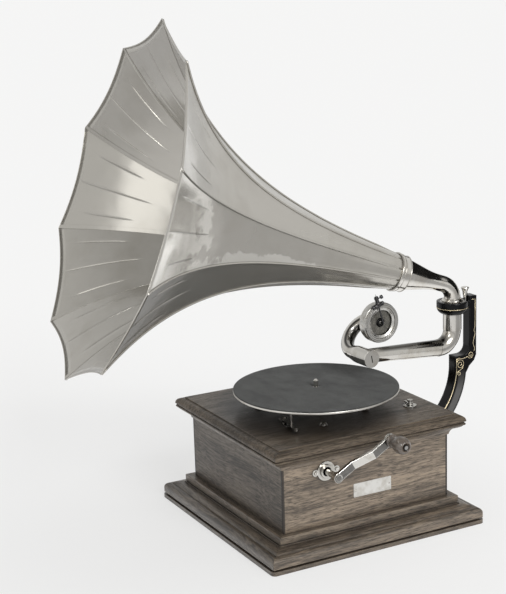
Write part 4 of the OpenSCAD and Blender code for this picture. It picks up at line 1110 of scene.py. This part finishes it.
def petal_mesh(petal):
    rows, columns = len(ROW_T), len(COLUMNS)
    points = [horn_point(petal, t, seam_column(t, u), off)
              for off in (0.0, SHEET_T) for t in ROW_T for u in COLUMNS]
    far = rows * columns
    faces = grid_faces(rows, columns) + grid_faces(rows, columns, far)
    border = (
        list(range(columns)) + [i * columns + columns - 1 for i in range(1, rows)]
        + [(rows - 1) * columns + j for j in range(columns - 2, -1, -1)]
        + [i * columns for i in range(rows - 2, 0, -1)])
    faces += [(a, b, b + far, a + far) for a, b in zip(border, border[1:] + border[:1])]
    return points, faces


def horn_piece(name, make, smooth=True):
    return piece(name, *joined([make(k) for k in range(PETALS)]), HORN, "horn", "horn_metal", smooth)


def painted_reflection_share(t, u):
    near_mouth = fade(t, 0.60, 0.90)
    low_edge = fade(-u, -0.25, 0.95) * fade(t, 0.15, 0.45)
    return REFLECTION_MOST * max(near_mouth, 0.95 * low_edge)


horn_skin = horn_piece("horn_petal_sheets", petal_mesh)
reflection_attribute = horn_skin.data.attributes.new("painted_reflection", "FLOAT", "POINT")
skin_points = [(t, u) for t in ROW_T for u in COLUMNS]
reflecting_from = (REFLECTING_PETAL * 2 + 1) * len(skin_points)
for index, (t, u) in enumerate(skin_points, reflecting_from):
    reflection_attribute.data[index].value = painted_reflection_share(t, u)
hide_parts("horn_petals")
print("horn petals:", len(horn_skin.data.polygons), "faces")

# %% [markdown]
# A seam is where two sheets are folded over each other. Outside it stands up as a rounded rib. Inside it
# shows as a low bead, with the flat lap of the folded sheet beside it. All three follow the seam from the
# ferrule to the tip.

# %% Seams and rolled rim
RIB_W, RIB_H = 1.6 * MM, 2.2 * MM
BEAD_W, BEAD_H = 0.8 * MM, 0.5 * MM
LAP_W, LAP_T = 5.5 * MM, 0.5 * MM
RIM_R = 0.95 * MM
SEAM_FROM, SEAM_ROWS, SEAM_STEP = 0.036, 68, 0.004
SEAM_SUNK = 0.12 * MM
SEAM_T = [SEAM_FROM + (1 - SEAM_FROM) * i / SEAM_ROWS for i in range(SEAM_ROWS + 1)]
ARC = [math.pi * k / 8 for k in range(9)]


def seam_strip(petal, half_width, height, base, outward):
    points = []
    for t in SEAM_T:
        seam = horn_point(petal, t, 1.0, base)
        before, after = (horn_point(petal, s, 1.0, base) for s in (t - SEAM_STEP, min(1.0, t + SEAM_STEP)))
        along = (after - before).normalized()
        axis = (horn_frame @ Vector((0, 0, t * HORN_LEN))) - seam
        lift = (-axis * outward + along * axis.dot(along) * outward).normalized()
        across = along.cross(lift).normalized()
        rise = height * (0.3 + 0.7 * fade(t, 0.04, 0.13))
        for a in ARC:
            points.append(seam + across * half_width * math.cos(a) + lift * (rise * math.sin(a) - SEAM_SUNK))
    rows, columns = len(SEAM_T), len(ARC)
    faces = grid_faces(rows, columns)
    firsts = [i * columns for i in range(rows)]
    faces += [(a, b, b + columns - 1, a + columns - 1) for a, b in zip(firsts, firsts[1:])]
    return points, faces + end_faces(rows, columns)


def seam_lap(petal):
    points = []
    for t in SEAM_T:
        inner_u = 1 - LAP_W / (horn_radius(t) * HALF_PETAL)
        for u, off in ((1.0, 0.0), (1.0, -LAP_T), (inner_u, -LAP_T), (inner_u, 0.0)):
            points.append(horn_point(petal, t, u, off))
    return points, grid_faces(len(SEAM_T), 4, wrap=True) + end_faces(len(SEAM_T), 4)


ribs = horn_piece("horn_seam_ribs", lambda k: seam_strip(k, RIB_W, RIB_H, SHEET_T, 1))
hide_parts("horn_ribs")
horn_piece("horn_seam_beads", lambda k: seam_strip(k, BEAD_W, BEAD_H, 0.0, -1))
horn_piece("horn_seam_laps", seam_lap, smooth=False)
RIM_U = [-1 + 2 * j / 24 for j in range(24)]
rim_path = [horn_point(k, 1.0, u, SHEET_T / 2, RIM_R * 0.8) for k in range(PETALS) for u in RIM_U]
rim = piece("horn_rolled_rim", *wire_mesh(rim_path, RIM_R, 10, closed=True), HORN, "horn", "horn_metal")
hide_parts("horn_rim")
print("horn seams:", PETALS, "ribs, beads and laps, rim of", len(rim_path), "points")

# %% [markdown]
# The elbow carries the sound from the tone arm into the horn. It was drawn from one tube, so it runs on
# without a step, and its cone starts with a blend. A tube with a wall is two wires, one inside the other,
# closed at both ends.

# %% A tube with a wall
ELBOW_R, ELBOW_WALL, ELBOW_END_R = 13.0 * MM, 1.6 * MM, NECK_R - 0.1 * MM
CONE_FROM, CONE_TO, CONE_BLEND = 20.0 * MM, 72.0 * MM, 13.0 * MM
FIRST_SLOPE = 0.025
CONE_SLOPE = (ELBOW_END_R - ELBOW_R - FIRST_SLOPE * CONE_FROM) / (CONE_TO - CONE_FROM)


def cone_radius(s):
    past = s - CONE_FROM + CONE_BLEND
    if past <= 0:
        grown = 0.0
    elif past < 2 * CONE_BLEND:
        grown = past * past / (4 * CONE_BLEND)
    else:
        grown = s - CONE_FROM
    return ELBOW_R + FIRST_SLOPE * min(s, CONE_FROM) + CONE_SLOPE * grown


def tube_shell(path, radii, wall, sides=56):
    count = len(path)

    def radius_at(s):
        return radii[round(s * (count - 1))]

    outer, faces = wire_mesh(path, radius_at, sides)
    inner, _ = wire_mesh(path, lambda s: radius_at(s) - wall, sides)
    skin = faces[:-2]
    far, last = len(outer), (count - 1) * sides
    shell = skin + [tuple(v + far for v in face) for face in skin]
    for k in range(sides):
        n = (k + 1) % sides
        shell.append((k, n, far + n, far + k))
        shell.append((last + k, last + n, far + last + n, far + last + k))
    return outer + inner, shell


print("elbow: radius", round(ELBOW_R / MM, 1), "to", round(cone_radius(CONE_TO) / MM, 1), "mm")

# %% [markdown]
# The elbow's line has a short upright, the bend and the long cone. A turned skirt closes its foot on the
# bearing.

# %% The elbow
RING_TOP = 298.0 * MM
BEND_STEPS, CONE_STEPS = 24, 36
elbow_line = [(swivel_frame @ Vector((0, 0, z)), ELBOW_R) for z in (RING_TOP - 5.2 * MM, RING_TOP + 2.0 * MM)]
for k in range(BEND_STEPS + 1):
    a = turn * k / BEND_STEPS
    at = Vector((0, -ELBOW_BEND * (1 - math.cos(a)), ELBOW_Z + ELBOW_BEND * math.sin(a)))
    elbow_line.append((swivel_frame @ at, ELBOW_R))
for k in range(1, CONE_STEPS + 1):
    s = CONE_TO * k / CONE_STEPS
    elbow_line.append((horn_frame @ Vector((0, 0, s - ELBOW_LEN)), cone_radius(s)))
elbow_line.append((horn_frame @ Vector((0, 0, 5.5 * MM)), ELBOW_END_R))
elbow_tube = tube_shell([p for p, _ in elbow_line], [r for _, r in elbow_line], ELBOW_WALL)
SKIRT = [
    (12.6, 0.3), (17.0, 0.3), (17.0, 1.6), (16.7, 2.1), (14.9, 4.0), (13.9, 4.4), (12.6, 4.5), (12.6, 0.3)]
SKIRT_SIDES = 64
skirt_points = [swivel_frame @ Vector((r * math.cos(a), r * math.sin(a), RING_TOP + h))
                for r, h in in_metres(SKIRT) for a in circle(SKIRT_SIDES)]
skirt = (skirt_points, grid_faces(len(SKIRT), SKIRT_SIDES, wrap=True))
elbow = piece("drawn_elbow", *joined([elbow_tube, skirt]), NICKEL, "horn", "nickel")
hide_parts("horn_elbow")
print("elbow:", len(elbow_line), "rings along its line")

# %% [markdown]
# The ferrule band that clamps the petals to the elbow has a rolled lip at each end and a raised line round
# its middle. Three thin rings give it these.

# %% Ferrule rings
def ring_at(t_mm, radius, thickness, sides=72):
    path = [horn_frame @ Vector((radius * math.cos(a), radius * math.sin(a), t_mm * MM))
            for a in circle(sides)]
    return wire_mesh(path, thickness, 8, closed=True)


BAND_LEN, LINE_PLACE = 15.5, 9.0
band_r0 = NECK_R + 2.6 * MM
band_r1 = horn_radius(BAND_LEN * MM / HORN_LEN) + 2.8 * MM
band_rings = [
    ring_at(-1.2, band_r0, 0.8 * MM),
    ring_at(LINE_PLACE, band_r0 + (band_r1 - band_r0) * LINE_PLACE / BAND_LEN, 0.6 * MM),
    ring_at(BAND_LEN - 0.8, band_r1, 0.9 * MM),
]
piece("ferrule_rings", *joined(band_rings), NICKEL, "horn", "nickel")
print("ferrule:", len(band_rings), "rings")

# %% [markdown]
# ## Felt
#
# A disc of wool felt is glued on the turntable. It is soft, so its edge is rounded over and its top is not
# quite flat. The outline is turned on a lathe, and a little noise then moves the top.

# %% The felt disc
felt_low, felt_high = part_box("turntable_felt")
FELT_R = (felt_high.x - felt_low.x) / 2
FELT_Z, FELT_T = felt_low.z, felt_high.z - felt_low.z
FELT_HOLE = 4.05 * MM
FELT_EDGE = 0.6 * MM
FELT_WAVE, WAVE_SCALE = 0.12 * MM, 45
edge_arc = [(FELT_R - FELT_EDGE + FELT_EDGE * math.sin(a), FELT_T - FELT_EDGE + FELT_EDGE * math.cos(a))
            for a in (math.pi / 2 * (1 - k / 5) for k in range(6))]
flat_r = FELT_R - FELT_EDGE
top_line = [(flat_r - (flat_r - FELT_HOLE) * k / 24, FELT_T) for k in range(1, 25)]
felt_outline = [(FELT_HOLE, 0.0), (FELT_R, 0.0)] + edge_arc + top_line + [(FELT_HOLE, 0.0)]
felt = turned("felt_disc", felt_outline, (0, 0, FELT_Z), (0, 0, 1), FELT, "turntable", "felt", 128)
for vertex in felt.data.vertices:
    if vertex.co.z > FELT_Z + FELT_T * 0.98:
        vertex.co.z += FELT_WAVE * (noise.noise(vertex.co * WAVE_SCALE) - 0.5)
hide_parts("turntable_felt")
print("felt: radius", round(FELT_R * 1000, 1), "mm")

# %% [markdown]
# ## Crank knob
#
# The knob is turned from dark wood: a collar by the arm, a waist, a swelling grip and a rounded end with a
# shallow dish round the rivet. A smooth curve through a few lathe points gives it.

# %% The turned knob
KNOB_AT = JOINT_AT["knob_spin"]
KNOB_BORE = 3.55
KNOB_POINTS = [
    (8.4, 0.5), (9.2, 1.2), (9.2, 2.8), (8.2, 3.9), (7.5, 6.0), (8.1, 10.0), (10.0, 15.5), (11.8, 20.5),
    (12.5, 26.0), (12.2, 30.0), (11.0, 33.6), (9.0, 36.4), (7.7, 37.7), (6.9, 37.9), (6.3, 37.5), (5.9, 36.7)]


def smooth_outline(points, steps):
    line = []
    padded = [points[0]] + points + [points[-1]]
    for a, b, c, d in zip(padded, padded[1:], padded[2:], padded[3:]):
        for k in range(steps):
            s = k / steps
            line.append(tuple(0.5 * (2 * q + (r - p) * s + (2 * p - 5 * q + 4 * r - w) * s * s
                                     + (3 * q - p - 3 * r + w) * s ** 3) for p, q, r, w in zip(a, b, c, d)))
    return line + [points[-1]]


knob_curve = [(KNOB_BORE, 0.5)] + smooth_outline(KNOB_POINTS, 5) + [(KNOB_BORE, 36.62), (KNOB_BORE, 0.5)]
knob = turned("turned_knob", in_metres(knob_curve), KNOB_AT, (1, 0, 0), KNOB_WOOD, "knob", "ebonised")
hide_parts("crank_knob")
print("knob: length", round(max(x for _, x in knob_curve), 1), "mm")

# %% [markdown]
# ## The small plate
#
# A thin metal plate is pinned to the crank side of the case. It is left bare: a rolled border, two
# round-headed pins and nothing else.

# %% Plate and pins
PLATE_Y, PLATE_Z = (-24.0 * MM, 41.0 * MM), (71.0 * MM, 92.0 * MM)
PLATE_T = 0.7 * MM
CORNER = 1.5 * MM


def rounded_rectangle(low, high, radius, steps=6):
    corners = ((high[0] - radius, high[1] - radius, 0), (low[0] + radius, high[1] - radius, 1),
               (low[0] + radius, low[1] + radius, 2), (high[0] - radius, low[1] + radius, 3))
    return [(y + radius * math.cos(a), z + radius * math.sin(a)) for y, z, quarter in corners
            for a in (math.pi / 2 * (quarter + k / steps) for k in range(steps + 1))]


def plate_ring(inset, height):
    low = (PLATE_Y[0] + inset, PLATE_Z[0] + inset)
    high = (PLATE_Y[1] - inset, PLATE_Z[1] - inset)
    outline = rounded_rectangle(low, high, max(0.3 * MM, CORNER - inset))
    return [Vector((CASE_X + height, y, z)) for y, z in outline]


BED_T = PLATE_T * 0.6
plate_levels = [
    (0.0, 0.0), (0.0, PLATE_T * 0.7), (0.25 * MM, PLATE_T), (1.3 * MM, PLATE_T), (1.55 * MM, BED_T),
    (1.9 * MM, BED_T)]
plate_rings = [plate_ring(*level) for level in plate_levels]
plate_size = len(plate_rings), len(plate_rings[0])
plate_faces = grid_faces(*plate_size, wrap=True) + end_faces(*plate_size)
plate_points = [p for ring in plate_rings for p in ring]
piece("bare_plate", plate_points, plate_faces, PLATE, "case", "nickel", smooth=False)
PIN_R, PIN_H, PIN_IN = 1.25 * MM, 0.9 * MM, 3.6 * MM
dome = [(PIN_R, 0.0)] + [(PIN_R * math.cos(a), PIN_H * math.sin(a)) for a in (0.3, 0.7, 1.1, 1.4)]
for side, y in (("front", PLATE_Y[0] + PIN_IN), ("back", PLATE_Y[1] - PIN_IN)):
    at = (CASE_X + BED_T, y, (PLATE_Z[0] + PLATE_Z[1]) / 2)
    turned(f"plate_pin_{side}", dome, at, (1, 0, 0), NICKEL, "case", "nickel", 24)
print("plate:", round((PLATE_Y[1] - PLATE_Y[0]) / MM), "by", round((PLATE_Z[1] - PLATE_Z[0]) / MM), "mm")

# %% [markdown]
# ## Gold lining on the bracket
#
# The black bracket carries hand-painted gold lines: one that follows its edges and a pair of scrolls where
# the leg turns upright. A broader gold band along the inner curve of the leg, narrowing upward, is a painted
# highlight. Paint has a little thickness, so each line is a thin bead half sunk in the side of the casting,
# on both sides.

# %% Lines and scrolls
LEG_HIGHLIGHT_R = 106.6
UP_Y0, UP_Y1 = 282.5, 295.4
LINE_R = 0.42 * MM
LEG_HALF = 9.0 * MM


def scroll(centre, outer, inner, start_deg, turns, steps=46):
    return [(centre[0] + r * math.cos(a), centre[1] + r * math.sin(a)) for r, a in (
        (outer + (inner - outer) * k / steps, math.radians(start_deg) + math.tau * turns * k / steps)
        for k in range(steps + 1))]


LINING = [
    [(256.8, 184.0), (256.8, 203.5), (262.0, 204.5)],
    [(UP_Y0 + 3.0, 297.0), (UP_Y1 - 2.6, 297.5), (UP_Y1 - 2.6, 270.0), (UP_Y1 - 2.9, 252.0),
     (UP_Y1 - 4.8, 246.0)],
    smooth_outline([(UP_Y1 - 4.8, 246.0), (UP_Y1 - 2.8, 240.0), (UP_Y1 - 5.0, 231.0), (UP_Y1 - 6.2, 224.0),
                    (UP_Y1 - 3.6, 216.0), (UP_Y1 - 4.2, 211.5)], 6),
    scroll((264.0, 193.0), 8.2, 1.6, 150, -1.7),
    scroll((284.0, 206.0), 6.0, 1.2, 200, 1.6),
    smooth_outline([(256.9, 197.1), (259.5, 202.6), (270.0, 202.0), (278.4, 204.0)], 8),
    scroll((262.0, 178.5), 4.4, 1.0, 80, 1.35, 30),
    smooth_outline([(262.8, 182.9), (266.0, 184.6), (270.0, 188.0)], 6),
]
# Painted highlight: a gold band along the leg's inner curve, broad at the foot and narrowing upward.
LEG_HIGHLIGHT_LINE = scroll((LEG_Y, LEG_Z), LEG_HIGHLIGHT_R, LEG_HIGHLIGHT_R, -62, 59 / 360, 40)


def on_side(face_x, line):
    return [Vector((face_x, y * MM, z * MM)) for y, z in line]


def highlight_width(s):
    return (1.35 - 0.95 * s) * MM


lining_and_highlight_parts = []
for face_x in (LEG_HALF, -LEG_HALF):
    lining_and_highlight_parts += [wire_mesh(on_side(face_x, line), LINE_R, 6) for line in LINING]
    lining_and_highlight_parts.append(wire_mesh(on_side(face_x, LEG_HIGHLIGHT_LINE), highlight_width, 8))
piece("gold_lining_and_highlight", *joined(lining_and_highlight_parts), GOLD_LINE_AND_HIGHLIGHT, "case", "brass")
# The gold line round the bearing bowl is partly a painted highlight on the bowl's belly.
RING_R, RING_LINE_Z = 25.0 * MM, 288.0 * MM
ring_arc = scroll((0, SWIVEL_Y), RING_R, RING_R, -245, 310 / 360, 80)
ring_line = [Vector((x, y, RING_LINE_Z)) for x, y in ring_arc]
piece("ring_lining_and_highlight", *wire_mesh(ring_line, LINE_R, 6), GOLD_LINE_AND_HIGHLIGHT, "case", "brass")
print("gold lining:", len(lining_and_highlight_parts), "lines")

# %% [markdown]
# ## Screw slots
#
# Wood screws and machine screws of the time all had one straight slot. Each head gets a cap of two
# half-round pieces with the slot between them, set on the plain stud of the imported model.

# %% Slotted caps
CAP_NARROWS = 0.86


def slotted_cap(name, centre, axis, radius, height, slot_width, slot_deg, look, body, slot):
    axis, side, other = directions_round(axis)
    a = math.radians(slot_deg)
    along, across = side * math.cos(a) + other * math.sin(a), other * math.cos(a) - side * math.sin(a)
    half = math.asin(slot_width / 2 / radius)
    parts = []
    for sign in (1, -1):
        arc = [(radius * math.cos(b), sign * radius * math.sin(b)) for b in (
            half + (math.pi - 2 * half) * k / 20 for k in range(21))]
        lower = [Vector(centre) + along * x + across * y for x, y in arc]
        wall = sign * slot_width / 2
        upper = [Vector(centre) + along * x * CAP_NARROWS + across * (y - wall) * CAP_NARROWS
                 + across * wall + axis * height for x, y in arc]
        parts.append((lower + upper, grid_faces(2, len(arc), wrap=True) + end_faces(2, len(arc))))
    return piece(name, *joined(parts), look, body, slot, smooth=False)


CRANK_Y, CRANK_Z, EAR = -70.6 * MM, 122.3 * MM, 17.4 * MM
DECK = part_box("top_board")[1].z
REAR_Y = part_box("bracket_bolts")[1].y
MOTOR_BOLTS = ((-40, -80, 20), (88, -40, 75), (-40, 20, 130), (60, 50, 50))
BRACKET_BOLTS = ((-19, 57, 10), (19, 57, 60), (-19, 95, 100), (19, 95, 40))
caps = [
    slotted_cap(f"escutcheon_slot_{label}", (CASE_X + 3.4 * MM, CRANK_Y + sign * EAR, CRANK_Z), (1, 0, 0),
                2.6 * MM, 0.7 * MM, 0.7 * MM, angle, NICKEL, "case", "nickel")
    for label, sign, angle in (("low", -1, 35), ("high", 1, 110))]
caps += [
    slotted_cap(f"motor_bolt_slot_{index}", (x * MM, y * MM, DECK + 3.0 * MM), (0, 0, 1),
                3.9 * MM, 0.7 * MM, 0.9 * MM, angle, NICKEL, "case", "nickel")
    for index, (x, y, angle) in enumerate(MOTOR_BOLTS)]
caps += [
    slotted_cap(f"bracket_bolt_slot_{index}", (x * MM, REAR_Y, z * MM), (0, 1, 0),
                5.2 * MM, 1.0 * MM, 1.2 * MM, angle, STEEL, "case", "steel")
    for index, (x, z, angle) in enumerate(BRACKET_BOLTS)]
print("slotted caps:", len(caps))

# %% [markdown]
# ## Brake pad and dial marks
#
# The brake pad is a short plug of leather with a rounded face. The speed dial has a ring of fine marks,
# raised as stamped marks are.

# %% Leather plug and dial marks
pad_low, pad_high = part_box("brake_pad")
pad_centre = (pad_low + pad_high) / 2
PAD_R, PAD_H = (pad_high.x - pad_low.x) / 2, pad_high.z - pad_low.z
PAD_SHARES = ((0.9, 0.0), (1.0, 0.12), (1.0, 0.5), (0.99, 0.8), (0.9, 0.95), (0.6, 1.0))
pad_outline = [(PAD_R * across, PAD_H * up) for across, up in PAD_SHARES]
pad_at = (pad_centre.x, pad_centre.y, pad_low.z)
pad = turned("leather_pad", pad_outline, pad_at, (0, 0, 1), LEATHER, "brake", "leather", 32)
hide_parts("brake_pad")
SPEED_AT = JOINT_AT["speed_control"]
DIAL_AT = Vector((SPEED_AT.x, SPEED_AT.y, DECK + 1.4 * MM))
MARK_FROM, MARK_SHORT, MARK_LONG, MARK_R = 6.6 * MM, 8.4 * MM, 9.2 * MM, 0.2 * MM
marks = []
for k in range(9):
    a = math.radians(132 + 12 * k)
    out = Vector((math.cos(a), math.sin(a), 0))
    reach = MARK_LONG if k % 4 == 0 else MARK_SHORT
    marks.append(wire_mesh([DIAL_AT + out * MARK_FROM, DIAL_AT + out * reach], MARK_R, 6))
piece("dial_marks", *joined(marks), DARK_STEEL, "case", "nickel")
print("dial marks:", len(marks))

# %% [markdown]
# ## The sound box
#
# The front of the sound box carries the small things a maker adds: three turned steps on its ring, drawn
# in dark nickel as a painted shade in their grooves, a lip that holds the mica with a black ring under it as
# a painted shadow in the gap, a dark collar with a button where the stylus bar meets the mica, and the
# bar's pivot with its socket and three little screws. They are placed from two facts of the imported model,
# the middle of the diaphragm and the place of the needle screw. The outlines give radius and height in
# millimetres.

# %% Sound box details
to_needle = JOINT_AT["needle_screw_turn"] - BOX_AT
to_needle = (to_needle - BOX_AXIS * to_needle.dot(BOX_AXIS)).normalized()
box_side = BOX_AXIS.cross(to_needle)


def box_circle(radius_mm, along_mm, thickness_mm, sides=96):
    middle = BOX_AT + BOX_AXIS * along_mm * MM
    path = [middle + (to_needle * math.cos(a) + box_side * math.sin(a)) * radius_mm * MM
            for a in circle(sides)]
    return wire_mesh(path, thickness_mm * MM, 8, closed=True)


LIP = [(19.8, 2.6), (19.8, 3.6), (20.6, 4.2), (22.6, 4.3), (23.0, 4.9), (25.2, 5.1), (25.2, 2.6), (19.8, 2.6)]
LIP_SHADE_RING = [(19.6, -0.1), (19.6, 2.6), (25.0, 2.6), (25.0, -0.1), (19.6, -0.1)]
COLLAR = [(2.6, 0.1), (7.4, 0.1), (7.4, 0.9), (6.8, 1.3), (3.1, 1.3), (2.6, 0.9), (2.6, 0.1)]
BUTTON = [(2.5, 0.1), (2.5, 1.4), (2.0, 1.9), (1.3, 2.1)]
SADDLE = [(2.6, -7.0), (3.4, -6.2), (3.4, 6.2), (2.6, 7.0)]
SOCKET = [(2.2, 2.0), (3.0, 2.6), (3.0, 5.5), (2.6, 6.2), (2.6, 10.0), (3.1, 10.6), (3.1, 13.0), (2.0, 13.8)]
SCREW = [(1.4, -3.5), (1.4, 0.0), (3.0, 0.0), (3.3, 0.9), (3.0, 3.0), (1.6, 3.5)]
pivot_at = BOX_AT + to_needle * 31.0 * MM + BOX_AXIS * 7.2 * MM
beside = box_side * 7.5 * MM
in_front = to_needle * 3.2 * MM + BOX_AXIS * 1.6 * MM
BOX_PIECES = (
    ("box_front_lip", LIP, BOX_AT, BOX_AXIS, BOX_NICKEL, "nickel", 96),
    # Painted shadow: a black ring under the lip, in the gap over the mica.
    ("box_lip_shade_ring", LIP_SHADE_RING, BOX_AT, BOX_AXIS, JAPAN, "japan", 96),
    ("mica_collar", COLLAR, BOX_AT, BOX_AXIS, JAPAN, "japan", 48),
    ("mica_button", BUTTON, BOX_AT, BOX_AXIS, BROWNED, "nickel", 32),
    ("pivot_saddle", SADDLE, pivot_at, box_side, DARK_STEEL, "steel", 32),
    ("needle_socket", SOCKET, pivot_at, to_needle, DARK_STEEL, "steel", 32),
    ("pivot_screw_left", SCREW, pivot_at - beside, -box_side, DARK_STEEL, "steel", 24),
    ("pivot_screw_right", SCREW, pivot_at + beside, box_side, DARK_STEEL, "steel", 24),
    ("pivot_screw_front", SCREW, pivot_at + in_front, BOX_AXIS, DARK_STEEL, "steel", 24),
)
# Painted shade: the three steps are dark nickel, as the shade in the turned grooves.
steps = [box_circle(30.3, 5.6, 0.5), box_circle(28.2, 5.8, 0.45), box_circle(25.6, 5.6, 0.5)]
piece("box_ring_steps", *joined(steps), BROWNED, "gooseneck", "nickel")
for name, outline, at, axis, look, slot, sides in BOX_PIECES:
    turned(name, in_metres(outline), at, axis, look, "gooseneck", slot, sides)
print("sound box:", len(steps), "steps and", len(BOX_PIECES), "turned pieces")
